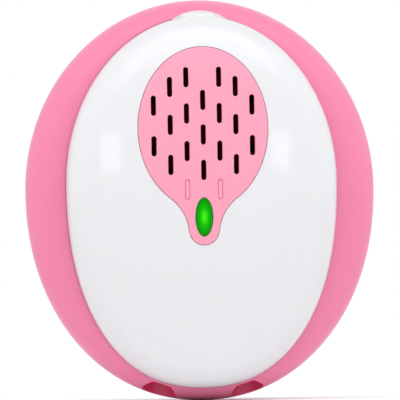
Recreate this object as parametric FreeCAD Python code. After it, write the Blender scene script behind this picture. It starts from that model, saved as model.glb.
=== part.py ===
"""A pocket fetal doppler: egg-shaped two-shell case with a speaker grille, an indicator lens, a
volume thumbwheel, two earphone sockets, an ultrasonic probe and a hinged battery door.

Every piece is modelled with the case lying on its back: x to the right, y up the face towards the
thumbwheel, z towards the user, z = 0 on the flat of the back. stand_up() then turns each piece so
that the face looks along -Y and the thumbwheel is at +Z, with the origin on the middle of the
probe's face. All sizes are in millimetres.
"""
import FreeCAD, Part
import math
import os
from FreeCAD import Placement, Rotation, Vector

os.makedirs("parts", exist_ok=True)

# ---- Case outlines: half width, reach above and below the widest line, the line, lower power ----
CASE_EGG = (40.56, 44.06, 48.92, 2.43, 2.09)
COVER_EGG = (31.41, 38.53, 47.76, 4.18, 2.27)
EGG_POINTS = 32
SHELL_SEAM, HOLLOW_SEAM, PRISM_SEAM = 16.0, 0.0, 11.5

# ---- Case heights and walls ----
BACK_INSET = 9.5          # the flat of the back lies this far inside the rim
RIM_Z = 11.0              # height of the widest line of the case
BAND_RISE = 7.5           # the pink band rises this much from the rim to the cover
DOME_TOP = 34.5
DOME_APEX_Y = 6.0
DOME_RADIUS_X = 80.0
DOME_RADIUS_Y = 130.0
COVER_EDGE_RADIUS = 8.0
BACK_WALL = 2.4
BAND_WALL = 2.1
COVER_WALL = 2.0
SEAT_DEPTH = 1.3          # how deep the cover sits in the band
SEAT_GAP = 0.12
CREST_INSET = 0.6         # the band's crest lies this far inside the cover's edge
LEDGE_WIDTH = 2.2
LEDGE_THICK = 1.8
FIT_GAP = 0.3             # between bodies that move past each other
RUN_GAP = 0.05            # running clearance of a pin in its bore
THREAD_GAP = 0.02         # round a screw in its bore
OVERSHOOT = 1.0           # how far a cutting shape reaches past what it cuts
HALVINGS = 40             # steps that close in on where two curves touch

BAND_TOP = RIM_Z + BAND_RISE
SEAT_Z = BAND_TOP - SEAT_DEPTH

# ---- Speaker grille ----
DROP_CENTRE_Y = 16.7
DROP_HALF_WIDTH = 15.1
DROP_HALF_HEIGHT = 18.9
TAIL_RADIUS = 3.5
TAIL_CENTRE_Y = -6.9
TAIL_FILLET = 11.0
GRILLE_GAP = 0.2
GRILLE_PROUD = 0.2
GRILLE_PLATE = 1.8
GRILLE_FLANGE_WIDTH = 1.5
GRILLE_FLANGE_THICK = 1.0
SLOT_WIDTH = 1.2
SLOT_LENGTH = 4.7
SLOT_PITCH_X = 3.8
SLOT_COLUMNS = {          # column number: heights of its slots' centres
    0: (23.2, 15.2, 7.0),
    1: (28.5, 20.1, 11.4),
    2: (26.3, 17.5, 8.25),
    3: (22.0, 12.6),
}
BLIND_SLOT = (1, 2.5)     # column number and height of the slots that don't go through
BLIND_DEPTH = 0.4
CLOTH_THICK = 0.3
CLOTH_GAP = 0.2           # between the cloth and the rim of the grille's recess

# ---- Indicator ----
LENS_CENTRE_Y = -3.9
LENS_WIDTH = 4.0
LENS_HEIGHT = 8.9
LENS_PROUD = 0.45
LENS_GAP = 0.08
LENS_FLANGE = 0.9
LENS_EDGE_RADIUS = 0.5
LED_RADIUS = 1.5
LED_HEIGHT = 3.2
LED_COLLAR = (0.35, 0.8)  # width and height

# ---- Speaker ----
SPEAKER_Y = 17.5
SPEAKER_RADIUS = 14.0
SPEAKER_RIM_THICK = 1.0
SPEAKER_FRONT_Z = 28.9
GASKET_THICK = 0.3
GASKET_WIDTH = 1.6
BASKET_RADIUS = 10.0
BASKET_DEPTH = 1.9
BASKET_WALL = 0.6
MAGNET_RADIUS = 7.0
MAGNET_DEPTH = 1.5
CONE_THICK = 0.25
CONE_ROLL = 9.2           # the membrane is flat outside this radius
CONE_THROAT = 4.5
CONE_SINK = 0.9
COLLAR_WALL = 1.2
SPEAKER_GAP = 0.1         # round the speaker in its collar

# ---- Main board ----
BOARD_Z = 25.3
BOARD_THICK = 1.6
BOARD_INSET = 5.0
BOARD_BOTTOM_Y = -26.0
BOARD_GAP = 0.6
BOARD_POSTS = ((21.5, 5.0), (13.0, -21.0))
BOARD_POST_RADIUS = 2.2
BOARD_SCREW_RADIUS = 0.9
BOARD_SCREW_HEAD = (1.9, 1.1)      # radius and height
BOARD_SCREW_REACH = 2.2   # depth of a post's bore for a board screw
BOARD_SCREW_SLOT = (0.5, 2.4)
BOARD_SCREW_END = 0.5     # between the end of a board screw and the bottom of its bore
BOARD_HOLE_GAP = 0.1
CHIPS = (                 # x, y, width, height, thickness, leads on a side, side of the board
    (-11.0, -9.0, 5.6, 7.2, 1.2, 8, 1),
    (10.5, -10.5, 4.0, 5.0, 1.1, 5, 1),
    (-18.5, -6.0, 4.0, 5.0, 1.1, 5, 1),
    (0.0, -18.5, 4.0, 5.0, 1.1, 5, -1),
)
CHIP_PITCH = 0.8
CHIP_LIFT = 0.15          # between a chip and the board
CHIP_LEAD = (0.7, 0.35, 0.3)       # reach, width and thickness
CAPACITORS = ((15.5, -3.0), (9.0, -3.5), (-4.5, -12.0))
CAPACITOR_RADIUS = 2.0
CAPACITOR_HEIGHT = 2.4
CAPACITOR_EDGE = 0.3
CRYSTAL_CAN = (11.0, 3.5, 1.8)     # length, width and height
CRYSTAL_CAN_PLACE = (-2.0, -20.2)
CONNECTORS = {"battery": (14.5, -13.5), "probe": (0.0, -13.6), "jacks": (-12.0, -14.5)}
HEADER_SIZE = (6.0, 4.0, 3.9)
HEADER_WALL = 0.6
HEADER_FLOOR = 1.0
HEADER_PIN = 0.5
HEADER_PITCH = 2.0
HEADER_PIN_REACH = 3.0

# ---- Volume thumbwheel ----
WHEEL_CENTRE_Y = 33.1
WHEEL_RADIUS = 11.0
WHEEL_Z = 18.8
WHEEL_THICK = 3.0
WHEEL_TEETH = 80
WHEEL_TOOTH_DEPTH = 0.35
WHEEL_HUB_RADIUS = 4.2
WHEEL_WEB = 1.4
WHEEL_RIM = 2.2
SHAFT_RADIUS = 3.0
SHAFT_BORE = 0.9
SHAFT_SUNK = 0.2          # the shaft ends this far inside the wheel's face
SHAFT_END_GAP = 0.1
WHEEL_SCREW_HEAD = (1.8, 1.0)
WHEEL_SCREW_SLOT = (0.5, 2.6)
WHEEL_WASHER = (3.8, 0.3)          # radius and thickness
WHEEL_SCREW_LENGTH = 3.4
CONTROL_RADIUS = 6.9
CONTROL_BACK = 0.5        # wall between the shaft's bore and the board

# ---- Battery and its compartment ----
BATTERY_LENGTH = 48.5     # with its studs
BATTERY_WIDTH = 26.2
BATTERY_DEPTH = 17.2
BATTERY_STUD = 3.0
BATTERY_EDGE = 1.5
STUD_PITCH = 12.7
STUD_PLUS_RADIUS = 2.85
STUD_MINUS_RADIUS = 3.9
BATTERY_Y = 4.5
BATTERY_ROOM = 0.3
CONTACT_ROOM = 1.3
CONTACT_THICK = 0.4
CONTACT_SIZE = (7.0, 8.0)
CONTACT_NOSE = 0.8        # radius of the bow that meets a stud
STUD_EDGE = 0.5
COMPARTMENT_WALL = 1.2

# ---- Battery door ----
DOOR_HALF_WIDTH = 27.5
DOOR_TOP_Y = 20.0
DOOR_THICK = 2.0
DOOR_CORNER = 4.0
HINGE_Y = -10.0
HINGE_PIN_RADIUS = 0.55
HINGE_PIN_LENGTH = 1.1
FRAME_THICK = 1.5
FRAME_MARGIN = 1.0
TONGUE_WIDTH = 12.0
TONGUE_LENGTH = 8.0
TONGUE_SLOT = 0.8
HOOK_REACH = 0.22
HOOK_THICK = 0.8
NAIL_RADIUS = 7.0
NAIL_DEPTH = 1.4
NAIL_LAND = 2.4           # how far the nail's scoop runs over the door
PAD_SIZE = (40.0, 18.0, 0.7)
PAD_GAP = 0.1             # between the pad and the battery
DOOR_RIB = (16.0, 0.8, 0.35)       # length, width and height of a grip line
DOOR_RIBS = 3
DOOR_RIB_PITCH = 1.9
DOOR_RIB_START = 2.0      # from the foot of the tongue

# ---- Probe ----
PROBE_Y = -27.0
PROBE_RADIUS = 13.0
PROBE_PROUD = 2.0
PROBE_EDGE = 1.0
PROBE_WALL = 1.3
PROBE_FACE_THICK = 2.0
PROBE_DEPTH = 6.2         # from the face to the back of its wall
PROBE_RING_WIDTH = 1.6
PROBE_RING_PROUD = 1.0
PROBE_FLANGE = 1.4
PROBE_FLANGE_THICK = 1.0
PROBE_GASKET_THICK = 0.3
PROBE_SEAT_Z = 2.8        # inner face of the ring, where the gasket lies
PROBE_GAP = 0.25
CRYSTAL_RADIUS = 11.2
CRYSTAL_THICK = 1.4
CRYSTAL_SPLIT = 1.2
SHIELD_WALL = 0.4
SHIELD_HEIGHT = 2.6
SHIELD_EDGE = 0.8
BACKING_GAP = 0.1

# ---- Earphone sockets ----
JACK_X = 10.5
JACK_TILT = 18.0          # degrees between the socket's axis and the middle line
JACK_Z = 14.8
JACK_BORE = 1.8
RECESS_RADIUS = 3.95
RECESS_DEPTH = 2.6
RECESS_WALL = 1.5
RECESS_RING = 1.2         # width of the thickening round a recess
RECESS_SKIN = 1.8         # the thickening stays this far inside the outline
FERRULE_RADIUS = 2.4
FERRULE_GAP = 0.1
FERRULE_SUNK = 0.3        # a nose ends this far behind the recess's floor
JACK_LENGTH = 12.0
JACK_WIDTH = 6.4
JACK_HEIGHT = 4.6
JACK_END_WALL = 1.0
JACK_GAP = 0.1            # between the shell and the front of a socket's housing
JACK_BOARD_THICK = 1.0
JACK_BOARD_SIZE = (39.4, 9.5)
JACK_BOARD_Y = -33.2
JACK_POST = (17.4, -31.6)
JACK_POST_RADIUS = 2.0

# ---- Case screws ----
CASE_SCREWS = ((20.5, 24.0), (21.0, -18.0))
SCREW_HEAD_RADIUS = 2.6
SCREW_HEAD_HEIGHT = 1.8
SCREW_RADIUS = 1.25
SCREW_LENGTH = 14.0
SCREW_SUNK_Z = 6.0
SCREW_SOCKET = (0.5, 3.2, 0.9)     # width, length and depth of the cross
SCREW_END = 0.5           # between the end of a case screw and the bottom of its bore
REAR_POST_RADIUS = 4.2
FRONT_POST_RADIUS = 3.0
POST_GAP = 0.2

# ---- Wires ----
WIRE_RADIUS = 0.6
SPEAKER_LEAD_RADIUS = 0.35
CABLE_RADIUS = 0.9
WIRE_GAP = 0.1            # round a wire in its hole, and at its end

UP = Vector(0, 0, 1)


# ---------------------------------------------------------------------------------- shape helpers
def egg_point(egg, angle, grow=0.0):
    """Point of an egg outline at an angle, the outline grown outwards by grow."""
    half_width, above, below, widest_y, power = egg
    c, s = math.cos(angle), math.sin(angle)
    reach, bend = (above, 2.0) if s >= 0 else (below, power)
    stretch = (abs(c) ** bend + abs(s) ** bend) ** (-1 / bend)
    return Vector((half_width + grow) * stretch * c, widest_y + (reach + grow) * stretch * s, 0)


def smooth_wire(points):
    """Closed smooth curve through points, with the same knots for every outline."""
    curve = Part.BSplineCurve()
    knots = [float(i) for i in range(len(points) + 1)]
    curve.interpolate(Points=points, Parameters=knots, PeriodicFlag=True)
    return Part.Wire([curve.toShape()])


def egg_angles(seam):
    """Angles round an outline; the seams of surfaces that cut each other are kept apart."""
    return [2 * math.pi * (i + seam) / EGG_POINTS for i in range(EGG_POINTS)]


def egg_wire(egg, grow, z, seam):
    return smooth_wire([egg_point(egg, a, grow) + UP * z for a in egg_angles(seam)])


def blend_wire(inner, inner_grow, outer, outer_grow, share, z, seam):
    """Outline between two eggs: share 0 is the inner one and 1 the outer one."""
    points = []
    for a in egg_angles(seam):
        start, end = egg_point(inner, a, inner_grow), egg_point(outer, a, outer_grow)
        points.append(start + (end - start) * share + UP * z)
    return smooth_wire(points)


def prism(wire, height):
    return Part.Face(wire).extrude(UP * height)


def egg_prism(egg, grow, z0, z1):
    return prism(egg_wire(egg, grow, z0, PRISM_SEAM), z1 - z0)


def cylinder(radius, x, y, z0, z1):
    return Part.makeCylinder(radius, z1 - z0, Vector(x, y, z0))


def ring(outer, inner, x, y, z0, z1):
    return cylinder(outer, x, y, z0, z1).cut(cylinder(inner, x, y, z0, z1))


def box(x0, x1, y0, y1, z0, z1):
    return Part.makeBox(x1 - x0, y1 - y0, z1 - z0, Vector(x0, y0, z0))


def centred_box(x, y, width, height, z0, z1):
    return box(x - width / 2, x + width / 2, y - height / 2, y + height / 2, z0, z1)


def rounded_box(x0, x1, y0, y1, z0, z1, radius):
    """Box whose four upright edges are rounded."""
    solid = box(x0, x1, y0, y1, z0, z1)
    return solid.makeFillet(radius, [e for e in solid.Edges if is_upright(e)])


def is_upright(edge):
    first, last = edge.Vertexes[0].Point, edge.Vertexes[-1].Point
    return abs(first.z - last.z) > 0.01 and math.hypot(first.x - last.x, first.y - last.y) < 1e-4


def ellipse_prism(half_x, half_y, x, y, z0, z1):
    """Upright prism over an ellipse whose longer half axis is along y."""
    curve = Part.Ellipse(Vector(x, y + half_y, z0), Vector(x + half_x, y, z0), Vector(x, y, z0))
    return prism(Part.Wire([curve.toShape()]), z1 - z0)


def dome(sunk=0.0):
    """Everything under the cover's domed face lowered by sunk, as a block of a wide barrel."""
    radius_x, radius_y = DOME_RADIUS_X - sunk, DOME_RADIUS_Y - sunk
    top, reach, floor, swing = DOME_TOP - sunk, 50.0, -10.0, 26.0
    drop = radius_x - math.sqrt(radius_x ** 2 - reach ** 2)
    corners = [Vector(x, DOME_APEX_Y, z) for x, z in (
        (-reach, top - drop), (-reach, floor), (reach, floor), (reach, top - drop))]
    edges = [Part.LineSegment(a, b).toShape() for a, b in zip(corners, corners[1:])]
    crown = Part.Arc(corners[3], Vector(0, DOME_APEX_Y, top), corners[0])
    face = Part.Face(Part.Wire(edges + [crown.toShape()]))
    axis_point = Vector(0, DOME_APEX_Y, top - radius_y)
    face.rotate(axis_point, Vector(1, 0, 0), -swing)
    return face.revolve(axis_point, Vector(1, 0, 0), 2 * swing)


def dome_z(x, y, sunk=0.0):
    """Height of the domed face over a point."""
    radius_x, radius_y = DOME_RADIUS_X - sunk, DOME_RADIUS_Y - sunk
    arm = radius_y - radius_x + math.sqrt(radius_x ** 2 - x ** 2)
    return DOME_TOP - sunk - radius_y + math.sqrt(arm ** 2 - (y - DOME_APEX_Y) ** 2)


def layer(outline, upper, lower):
    """The part of an upright prism between two lowered copies of the dome."""
    return outline.common(dome(upper)).cut(dome(lower))


def mirrored(places):
    return [(side * x, y) for x, y in places for side in (-1, 1)]


def tube(points, radius):
    """Round wire along straight runs joined by tangent arcs."""
    edges, start = [], points[0]
    for before, corner, after in zip(points, points[1:], points[2:]):
        entry, leave = corner - before, after - corner
        turn = entry.getAngle(leave)
        cut_back = 0.45 * min(entry.Length, leave.Length)
        bend = cut_back / math.tan(turn / 2)
        entry.normalize()
        leave.normalize()
        first, last = corner - entry * cut_back, corner + leave * cut_back
        inward = (leave - entry).normalize()
        middle = corner + inward * (math.hypot(bend, cut_back) - bend)
        edges += [Part.LineSegment(start, first).toShape(), Part.Arc(first, middle, last).toShape()]
        start = last
    edges.append(Part.LineSegment(start, points[-1]).toShape())
    path = Part.Wire(edges)
    section = Part.Wire([Part.makeCircle(radius, points[0], points[1] - points[0])])
    return path.makePipeShell([section], True, True)


def moved(shape, x, y, z, turn=0.0):
    """Copy turned about z by turn degrees, then moved."""
    copy = shape.copy()
    copy.Placement = Placement(Vector(x, y, z), Rotation(UP, turn)).multiply(copy.Placement)
    return copy


# ---------------------------------------------------------------------------------- rear shell
def case_loft(wall):
    """The outer form of the pink shell, or its hollow when a wall is given."""
    steps = 7
    floor, rim = (BACK_WALL, BAND_WALL) if wall else (0.0, 0.0)
    seam = HOLLOW_SEAM if wall else SHELL_SEAM
    wires = []
    for i in range(steps):
        angle = math.pi / 2 * i / (steps - 1)
        grow = -BACK_INSET + (BACK_INSET - rim) * math.sin(angle)
        wires.append(egg_wire(CASE_EGG, grow, RIM_Z - (RIM_Z - floor) * math.cos(angle), seam))
    back = Part.makeLoft(wires, True)
    wires = []
    for i in range(steps):
        angle = math.pi / 2 * i / (steps - 1)
        z = RIM_Z + (BAND_RISE - rim) * math.sin(angle)
        wires.append(blend_wire(COVER_EGG, -CREST_INSET, CASE_EGG, -rim, math.cos(angle), z, seam))
    return back.fuse(Part.makeLoft(wires, True))


def compartment_box():
    """Inside of the battery compartment: x0, x1, y0, y1, ceiling."""
    half = (BATTERY_LENGTH + CONTACT_ROOM + BATTERY_ROOM) / 2
    side = BATTERY_WIDTH / 2 + BATTERY_ROOM
    return -half, half, BATTERY_Y - side, BATTERY_Y + side, battery_z() + BATTERY_DEPTH + BATTERY_ROOM


def frame_z():
    """Inner side of the door's recess."""
    return DOOR_THICK + FIT_GAP


def battery_z():
    return frame_z() + PAD_SIZE[2] + PAD_GAP


def door_recess():
    """Room for the door, with round corners at its top only."""
    half = DOOR_HALF_WIDTH + FIT_GAP
    foot = HINGE_Y - DOOR_THICK / 2 - FIT_GAP
    room = rounded_box(-half, half, foot, DOOR_TOP_Y + FIT_GAP, -OVERSHOOT, frame_z(),
                       DOOR_CORNER + FIT_GAP)
    return room.fuse(box(-half, half, foot, 0.0, -OVERSHOOT, frame_z()))


def nail_notch():
    """Half-round scoop in the back for the fingernail, above the door's tongue."""
    scoop = cylinder(NAIL_RADIUS, 0, DOOR_TOP_Y - NAIL_RADIUS / 2, -OVERSHOOT, NAIL_DEPTH)
    return scoop.common(box(-NAIL_RADIUS, NAIL_RADIUS, DOOR_TOP_Y, DOOR_TOP_Y + NAIL_RADIUS,
                            -OVERSHOOT, NAIL_DEPTH))


def jack_frame(side, shape):
    """Carries a shape made along +y from a point on the outline to its socket's place."""
    y = egg_y(CASE_EGG, JACK_X)
    return moved(shape, side * JACK_X, y, JACK_Z, side * JACK_TILT)


def egg_y(egg, x):
    """Lower edge of an egg outline at x."""
    half_width, _, below, widest_y, power = egg
    return widest_y - below * (1 - (abs(x) / half_width) ** power) ** (1 / power)


def along(radius, start, end):
    """Cylinder along +y about the socket's axis, from start to end inwards."""
    return Part.makeCylinder(radius, end - start, Vector(0, start, 0), Vector(0, 1, 0))


def probe_ring():
    """Ring round the probe's hole, raised outside and inside."""
    outer = PROBE_RADIUS + PROBE_GAP + PROBE_RING_WIDTH
    return cylinder(outer, 0, PROBE_Y, -PROBE_RING_PROUD, PROBE_SEAT_Z)


def probe_room():
    """Room inside the shell for the probe's flange, above the ring."""
    return cylinder(PROBE_RADIUS + PROBE_FLANGE + PROBE_GAP, 0, PROBE_Y, PROBE_SEAT_Z, RIM_Z)


def battery_cell(wall):
    """Block over the battery's room, grown by a wall."""
    x0, x1, y0, y1, ceiling = compartment_box()
    floor = frame_z() if wall else -OVERSHOOT
    return box(x0 - wall, x1 + wall, y0 - wall, y1 + wall, floor, ceiling + wall)


def door_frame():
    """Plate inside the shell that the battery door closes against."""
    margin = FIT_GAP + FRAME_MARGIN
    return box(-DOOR_HALF_WIDTH - margin, DOOR_HALF_WIDTH + margin,
               HINGE_Y - DOOR_THICK / 2 - margin, DOOR_TOP_Y + margin,
               frame_z(), frame_z() + FRAME_THICK)


def jack_boss(side):
    """Thickening of the shell behind a socket's recess."""
    boss = along(RECESS_RADIUS + RECESS_RING, 0.0, RECESS_DEPTH + RECESS_WALL)
    boss = jack_frame(side, boss)
    boss = boss.common(egg_prism(CASE_EGG, -RECESS_SKIN, RIM_Z / 2, SEAT_Z - FIT_GAP))
    return boss.cut(egg_prism(COVER_EGG, -LEDGE_WIDTH, SEAT_Z - LEDGE_THICK, BAND_TOP))


def jack_cuts(side):
    """Recess, hole for the socket's nose and room for its housing."""
    start = jack_start()
    half = JACK_WIDTH / 2 + FIT_GAP
    room = box(-half, half, start, start + JACK_LENGTH / 3, -JACK_HEIGHT / 2 - FIT_GAP,
               BAND_TOP - JACK_Z)
    return [jack_frame(side, shape) for shape in (
        along(RECESS_RADIUS, -RECESS_RADIUS, RECESS_DEPTH),
        along(FERRULE_RADIUS + FERRULE_GAP, 0.0, start + OVERSHOOT), room)]


def rear_posts():
    posts = [cylinder(REAR_POST_RADIUS, x, y, BACK_WALL / 2, SEAT_Z - POST_GAP)
             for x, y in mirrored(CASE_SCREWS)]
    return posts + [cylinder(JACK_POST_RADIUS, x, y, BACK_WALL / 2, jack_board_z())
                    for x, y in mirrored([JACK_POST])]


def rear_screw_holes():
    holes = []
    for x, y in mirrored(CASE_SCREWS):
        holes.append(cylinder(SCREW_HEAD_RADIUS + POST_GAP, x, y, -OVERSHOOT, SCREW_SUNK_Z))
        holes.append(cylinder(SCREW_RADIUS + POST_GAP, x, y, 0.0, SEAT_Z))
    for x, y in mirrored([JACK_POST]):
        holes.append(cylinder(BOARD_SCREW_RADIUS, x, y, jack_board_z() - BOARD_SCREW_REACH, BAND_TOP))
    return holes


def hinge_bore():
    reach = DOOR_HALF_WIDTH + HINGE_PIN_LENGTH + FIT_GAP
    return Part.makeCylinder(HINGE_PIN_RADIUS + RUN_GAP, 2 * reach,
                             Vector(-reach, HINGE_Y, DOOR_THICK / 2), Vector(1, 0, 0))


def hook_half_width():
    return TONGUE_WIDTH / 2 - TONGUE_SLOT


def hook_groove():
    """Groove over the door that the tongue's hook snaps into."""
    half = hook_half_width() + FIT_GAP
    return box(-half, half, DOOR_TOP_Y, DOOR_TOP_Y + 2 * FIT_GAP + HOOK_REACH,
               DOOR_THICK - HOOK_THICK - FIT_GAP, frame_z())


def rear_shell():
    ledge_z = SEAT_Z - LEDGE_THICK
    above = BAND_TOP + OVERSHOOT
    hollow = case_loft(True).cut(egg_prism(COVER_EGG, BAND_WALL, ledge_z, above))
    body = case_loft(False)
    for cut in (egg_prism(COVER_EGG, SEAT_GAP, SEAT_Z, above), hollow,
                egg_prism(COVER_EGG, -LEDGE_WIDTH, RIM_Z, above)):
        body = body.cut(cut)
    body = body.cut(probe_room())
    for piece in [door_frame(), battery_cell(COMPARTMENT_WALL), probe_ring(),
                  jack_boss(-1), jack_boss(1)] + rear_posts():
        body = body.fuse(piece)
    probe_hole = cylinder(PROBE_RADIUS + PROBE_GAP, 0, PROBE_Y, -PROBE_PROUD,
                          PROBE_SEAT_Z + OVERSHOOT)
    lead_holes = [lead_hole(y, z) for y, z, _ in stud_places()]
    for cut in [door_recess(), nail_notch(), battery_cell(0.0), probe_hole, hinge_bore(),
                hook_groove()] + rear_screw_holes() + lead_holes + jack_cuts(-1) + jack_cuts(1):
        body = body.cut(cut)
    return body


# ---------------------------------------------------------------------------------- front cover
def cover_form(sunk):
    """The cover's outer form, or its inside when sunk by the wall."""
    z0 = SEAT_Z - (OVERSHOOT if sunk else 0.0)
    solid = egg_prism(COVER_EGG, -sunk, z0, DOME_TOP + OVERSHOOT).common(dome(sunk))
    radius = COVER_EDGE_RADIUS - sunk
    foot = SEAT_Z + SEAT_DEPTH
    edges = [e for e in solid.Edges if e.BoundBox.ZMin > foot and e.BoundBox.XLength > radius]
    return solid.makeFillet(radius, edges)


def drop_oval(grow):
    """Upper part of the teardrop's outline, grown outwards."""
    middle = Vector(0, DROP_CENTRE_Y, 0)
    return Part.Ellipse(middle + Vector(0, DROP_HALF_HEIGHT + grow, 0),
                        middle + Vector(DROP_HALF_WIDTH + grow, 0, 0), middle)


def drop_blend(grow):
    """Arc between the oval and the right of the tail: its centre and its two ends."""
    oval, tail = drop_oval(grow).toShape(), Vector(0, TAIL_CENTRE_Y, 0)
    low, high = -math.pi / 3, math.pi / 3
    for _ in range(HALVINGS):
        angle = (low + high) / 2
        away = Vector(math.cos(angle), math.sin(angle), 0)
        centre = tail + away * (TAIL_RADIUS + TAIL_FILLET)
        distance, touching = Part.Vertex(centre).distToShape(oval)[:2]
        if distance > TAIL_FILLET - grow:
            low = angle
        else:
            high = angle
    return centre, touching[0][1], tail + away * (TAIL_RADIUS + grow)


def drop_prism(grow, z0, z1):
    """Upright prism over the teardrop: an oval and a round tail, blended by an arc on each side."""
    centre, above, below = drop_blend(grow)
    middle = centre + ((above + below) / 2 - centre).normalize() * (TAIL_FILLET - grow)
    left = [Vector(-p.x, p.y, 0) for p in (below, middle, above)]
    tip = Vector(0, TAIL_CENTRE_Y - TAIL_RADIUS - grow, 0)
    oval = drop_oval(grow)
    reach = oval.parameter(above)
    edges = [oval.toShape(-reach, reach)]
    edges += [Part.Arc(*points).toShape() for points in (
        (above, middle, below), (below, tip, left[0]), left)]
    return prism(Part.Wire(edges), z1 - z0).translated(Vector(0, 0, z0))


def front_cover():
    cover = cover_form(0.0).cut(cover_form(COVER_WALL))
    posts = [cylinder(FRONT_POST_RADIUS, x, y, SEAT_Z - POST_GAP, DOME_TOP)
             for x, y in mirrored(CASE_SCREWS)]
    posts += [cylinder(BOARD_POST_RADIUS, x, y, BOARD_Z + BOARD_THICK, DOME_TOP)
              for x, y in mirrored(BOARD_POSTS)]
    room = cover_form(COVER_WALL / 2).fuse(egg_prism(COVER_EGG, -COVER_WALL, 0.0, SEAT_Z))
    cover = cover.multiFuse([post.common(room) for post in posts])
    cover = cover.cut(drop_prism(0.0, DOME_TOP / 2, DOME_TOP + OVERSHOOT))
    screw_top = SCREW_SUNK_Z + SCREW_LENGTH + SCREW_END
    for x, y in mirrored(CASE_SCREWS):
        cover = cover.cut(cylinder(SCREW_RADIUS, x, y, 0.0, screw_top))
    board_screw_top = BOARD_Z + BOARD_THICK + BOARD_SCREW_REACH
    for x, y in mirrored(BOARD_POSTS):
        cover = cover.cut(cylinder(BOARD_SCREW_RADIUS, x, y, BOARD_Z, board_screw_top))
    low, high = WHEEL_Z - FIT_GAP, WHEEL_Z + WHEEL_THICK + FIT_GAP
    slot = cylinder(WHEEL_RADIUS + 2 * FIT_GAP, 0, WHEEL_CENTRE_Y, low, high)
    return cover.cut(slot.common(egg_prism(COVER_EGG, OVERSHOOT, low, high)))


# ---------------------------------------------------------------------------------- grille, lens
def slot_solid(x, y, z0, z1):
    straight = SLOT_LENGTH - SLOT_WIDTH
    parts = [centred_box(x, y, SLOT_WIDTH, straight, z0, z1)]
    parts += [cylinder(SLOT_WIDTH / 2, x, y + s * straight / 2, z0, z1) for s in (-1, 1)]
    return parts[0].multiFuse(parts[1:]).removeSplitter()


def slot_places():
    places = []
    for column, heights in SLOT_COLUMNS.items():
        for side in ((-1, 1) if column else (1,)):
            places += [(side * column * SLOT_PITCH_X, y) for y in heights]
    return places


def collar_radius():
    """Outside of the collar that holds the speaker behind the grille."""
    return SPEAKER_RADIUS + SPEAKER_GAP + COLLAR_WALL


def speaker_grille():
    low, high = BOARD_Z, DOME_TOP + OVERSHOOT
    flange_depth = COVER_WALL + GRILLE_FLANGE_THICK
    plate = layer(drop_prism(-GRILLE_GAP, low, high), -GRILLE_PROUD, flange_depth)
    flange = layer(drop_prism(GRILLE_FLANGE_WIDTH, low, high), COVER_WALL, flange_depth)
    rim = SPEAKER_FRONT_Z - SPEAKER_RIM_THICK
    inside = SPEAKER_RADIUS + SPEAKER_GAP
    collar = ring(collar_radius(), inside, 0, SPEAKER_Y, rim, high)
    collar = collar.common(dome(COVER_WALL))
    recess = cylinder(inside, 0, SPEAKER_Y, low, high).common(dome(GRILLE_PLATE))
    shoulder = ring(inside + COLLAR_WALL / 2, SPEAKER_RADIUS - GASKET_WIDTH, 0, SPEAKER_Y,
                    SPEAKER_FRONT_Z + GASKET_THICK, high).common(dome(GRILLE_PLATE / 2))
    shoulder = shoulder.common(drop_prism(-GRILLE_GAP, low, high))
    grille = plate.fuse(flange).cut(recess).fuse(collar).fuse(shoulder)
    lens_hole = ellipse_prism(LENS_WIDTH / 2 + LENS_GAP, LENS_HEIGHT / 2 + LENS_GAP, 0,
                              LENS_CENTRE_Y, low, high)
    grille = grille.cut(lens_hole)
    for x, y in slot_places():
        grille = grille.cut(slot_solid(x, y, low, high))
    column, height = BLIND_SLOT
    for side in (-1, 1):
        x = side * column * SLOT_PITCH_X
        grille = grille.cut(slot_solid(x, height, dome_z(x, height) - BLIND_DEPTH, high))
    return grille


def dust_cloth():
    disc = cylinder(SPEAKER_RADIUS - GASKET_WIDTH - CLOTH_GAP, 0, SPEAKER_Y, BOARD_Z, DOME_TOP)
    return layer(disc, GRILLE_PLATE, GRILLE_PLATE + CLOTH_THICK)


def led_lens():
    half_x, half_y = LENS_WIDTH / 2, LENS_HEIGHT / 2
    low, high = BOARD_Z, DOME_TOP + OVERSHOOT
    depth = COVER_WALL + GRILLE_FLANGE_THICK
    body = layer(ellipse_prism(half_x, half_y, 0, LENS_CENTRE_Y, low, high), -LENS_PROUD, depth)
    top = [e for e in body.Edges if e.BoundBox.ZMin > DOME_TOP - depth / 2 and not is_upright(e)]
    body = body.makeFillet(LENS_EDGE_RADIUS, top)
    flange = ellipse_prism(half_x + LENS_FLANGE, half_y + LENS_FLANGE, 0, LENS_CENTRE_Y, low, high)
    flange = flange.cut(cylinder(collar_radius() + FIT_GAP, 0, SPEAKER_Y, low, high))
    return body.fuse(layer(flange, depth, depth + LENS_FLANGE))


def signal_led():
    z0 = BOARD_Z + BOARD_THICK
    straight = z0 + LED_HEIGHT - LED_RADIUS
    led = cylinder(LED_RADIUS, 0, LENS_CENTRE_Y, z0, straight)
    led = led.fuse(Part.makeSphere(LED_RADIUS, Vector(0, LENS_CENTRE_Y, straight)))
    width, height = LED_COLLAR
    return led.fuse(cylinder(LED_RADIUS + width, 0, LENS_CENTRE_Y, z0, z0 + height))


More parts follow.
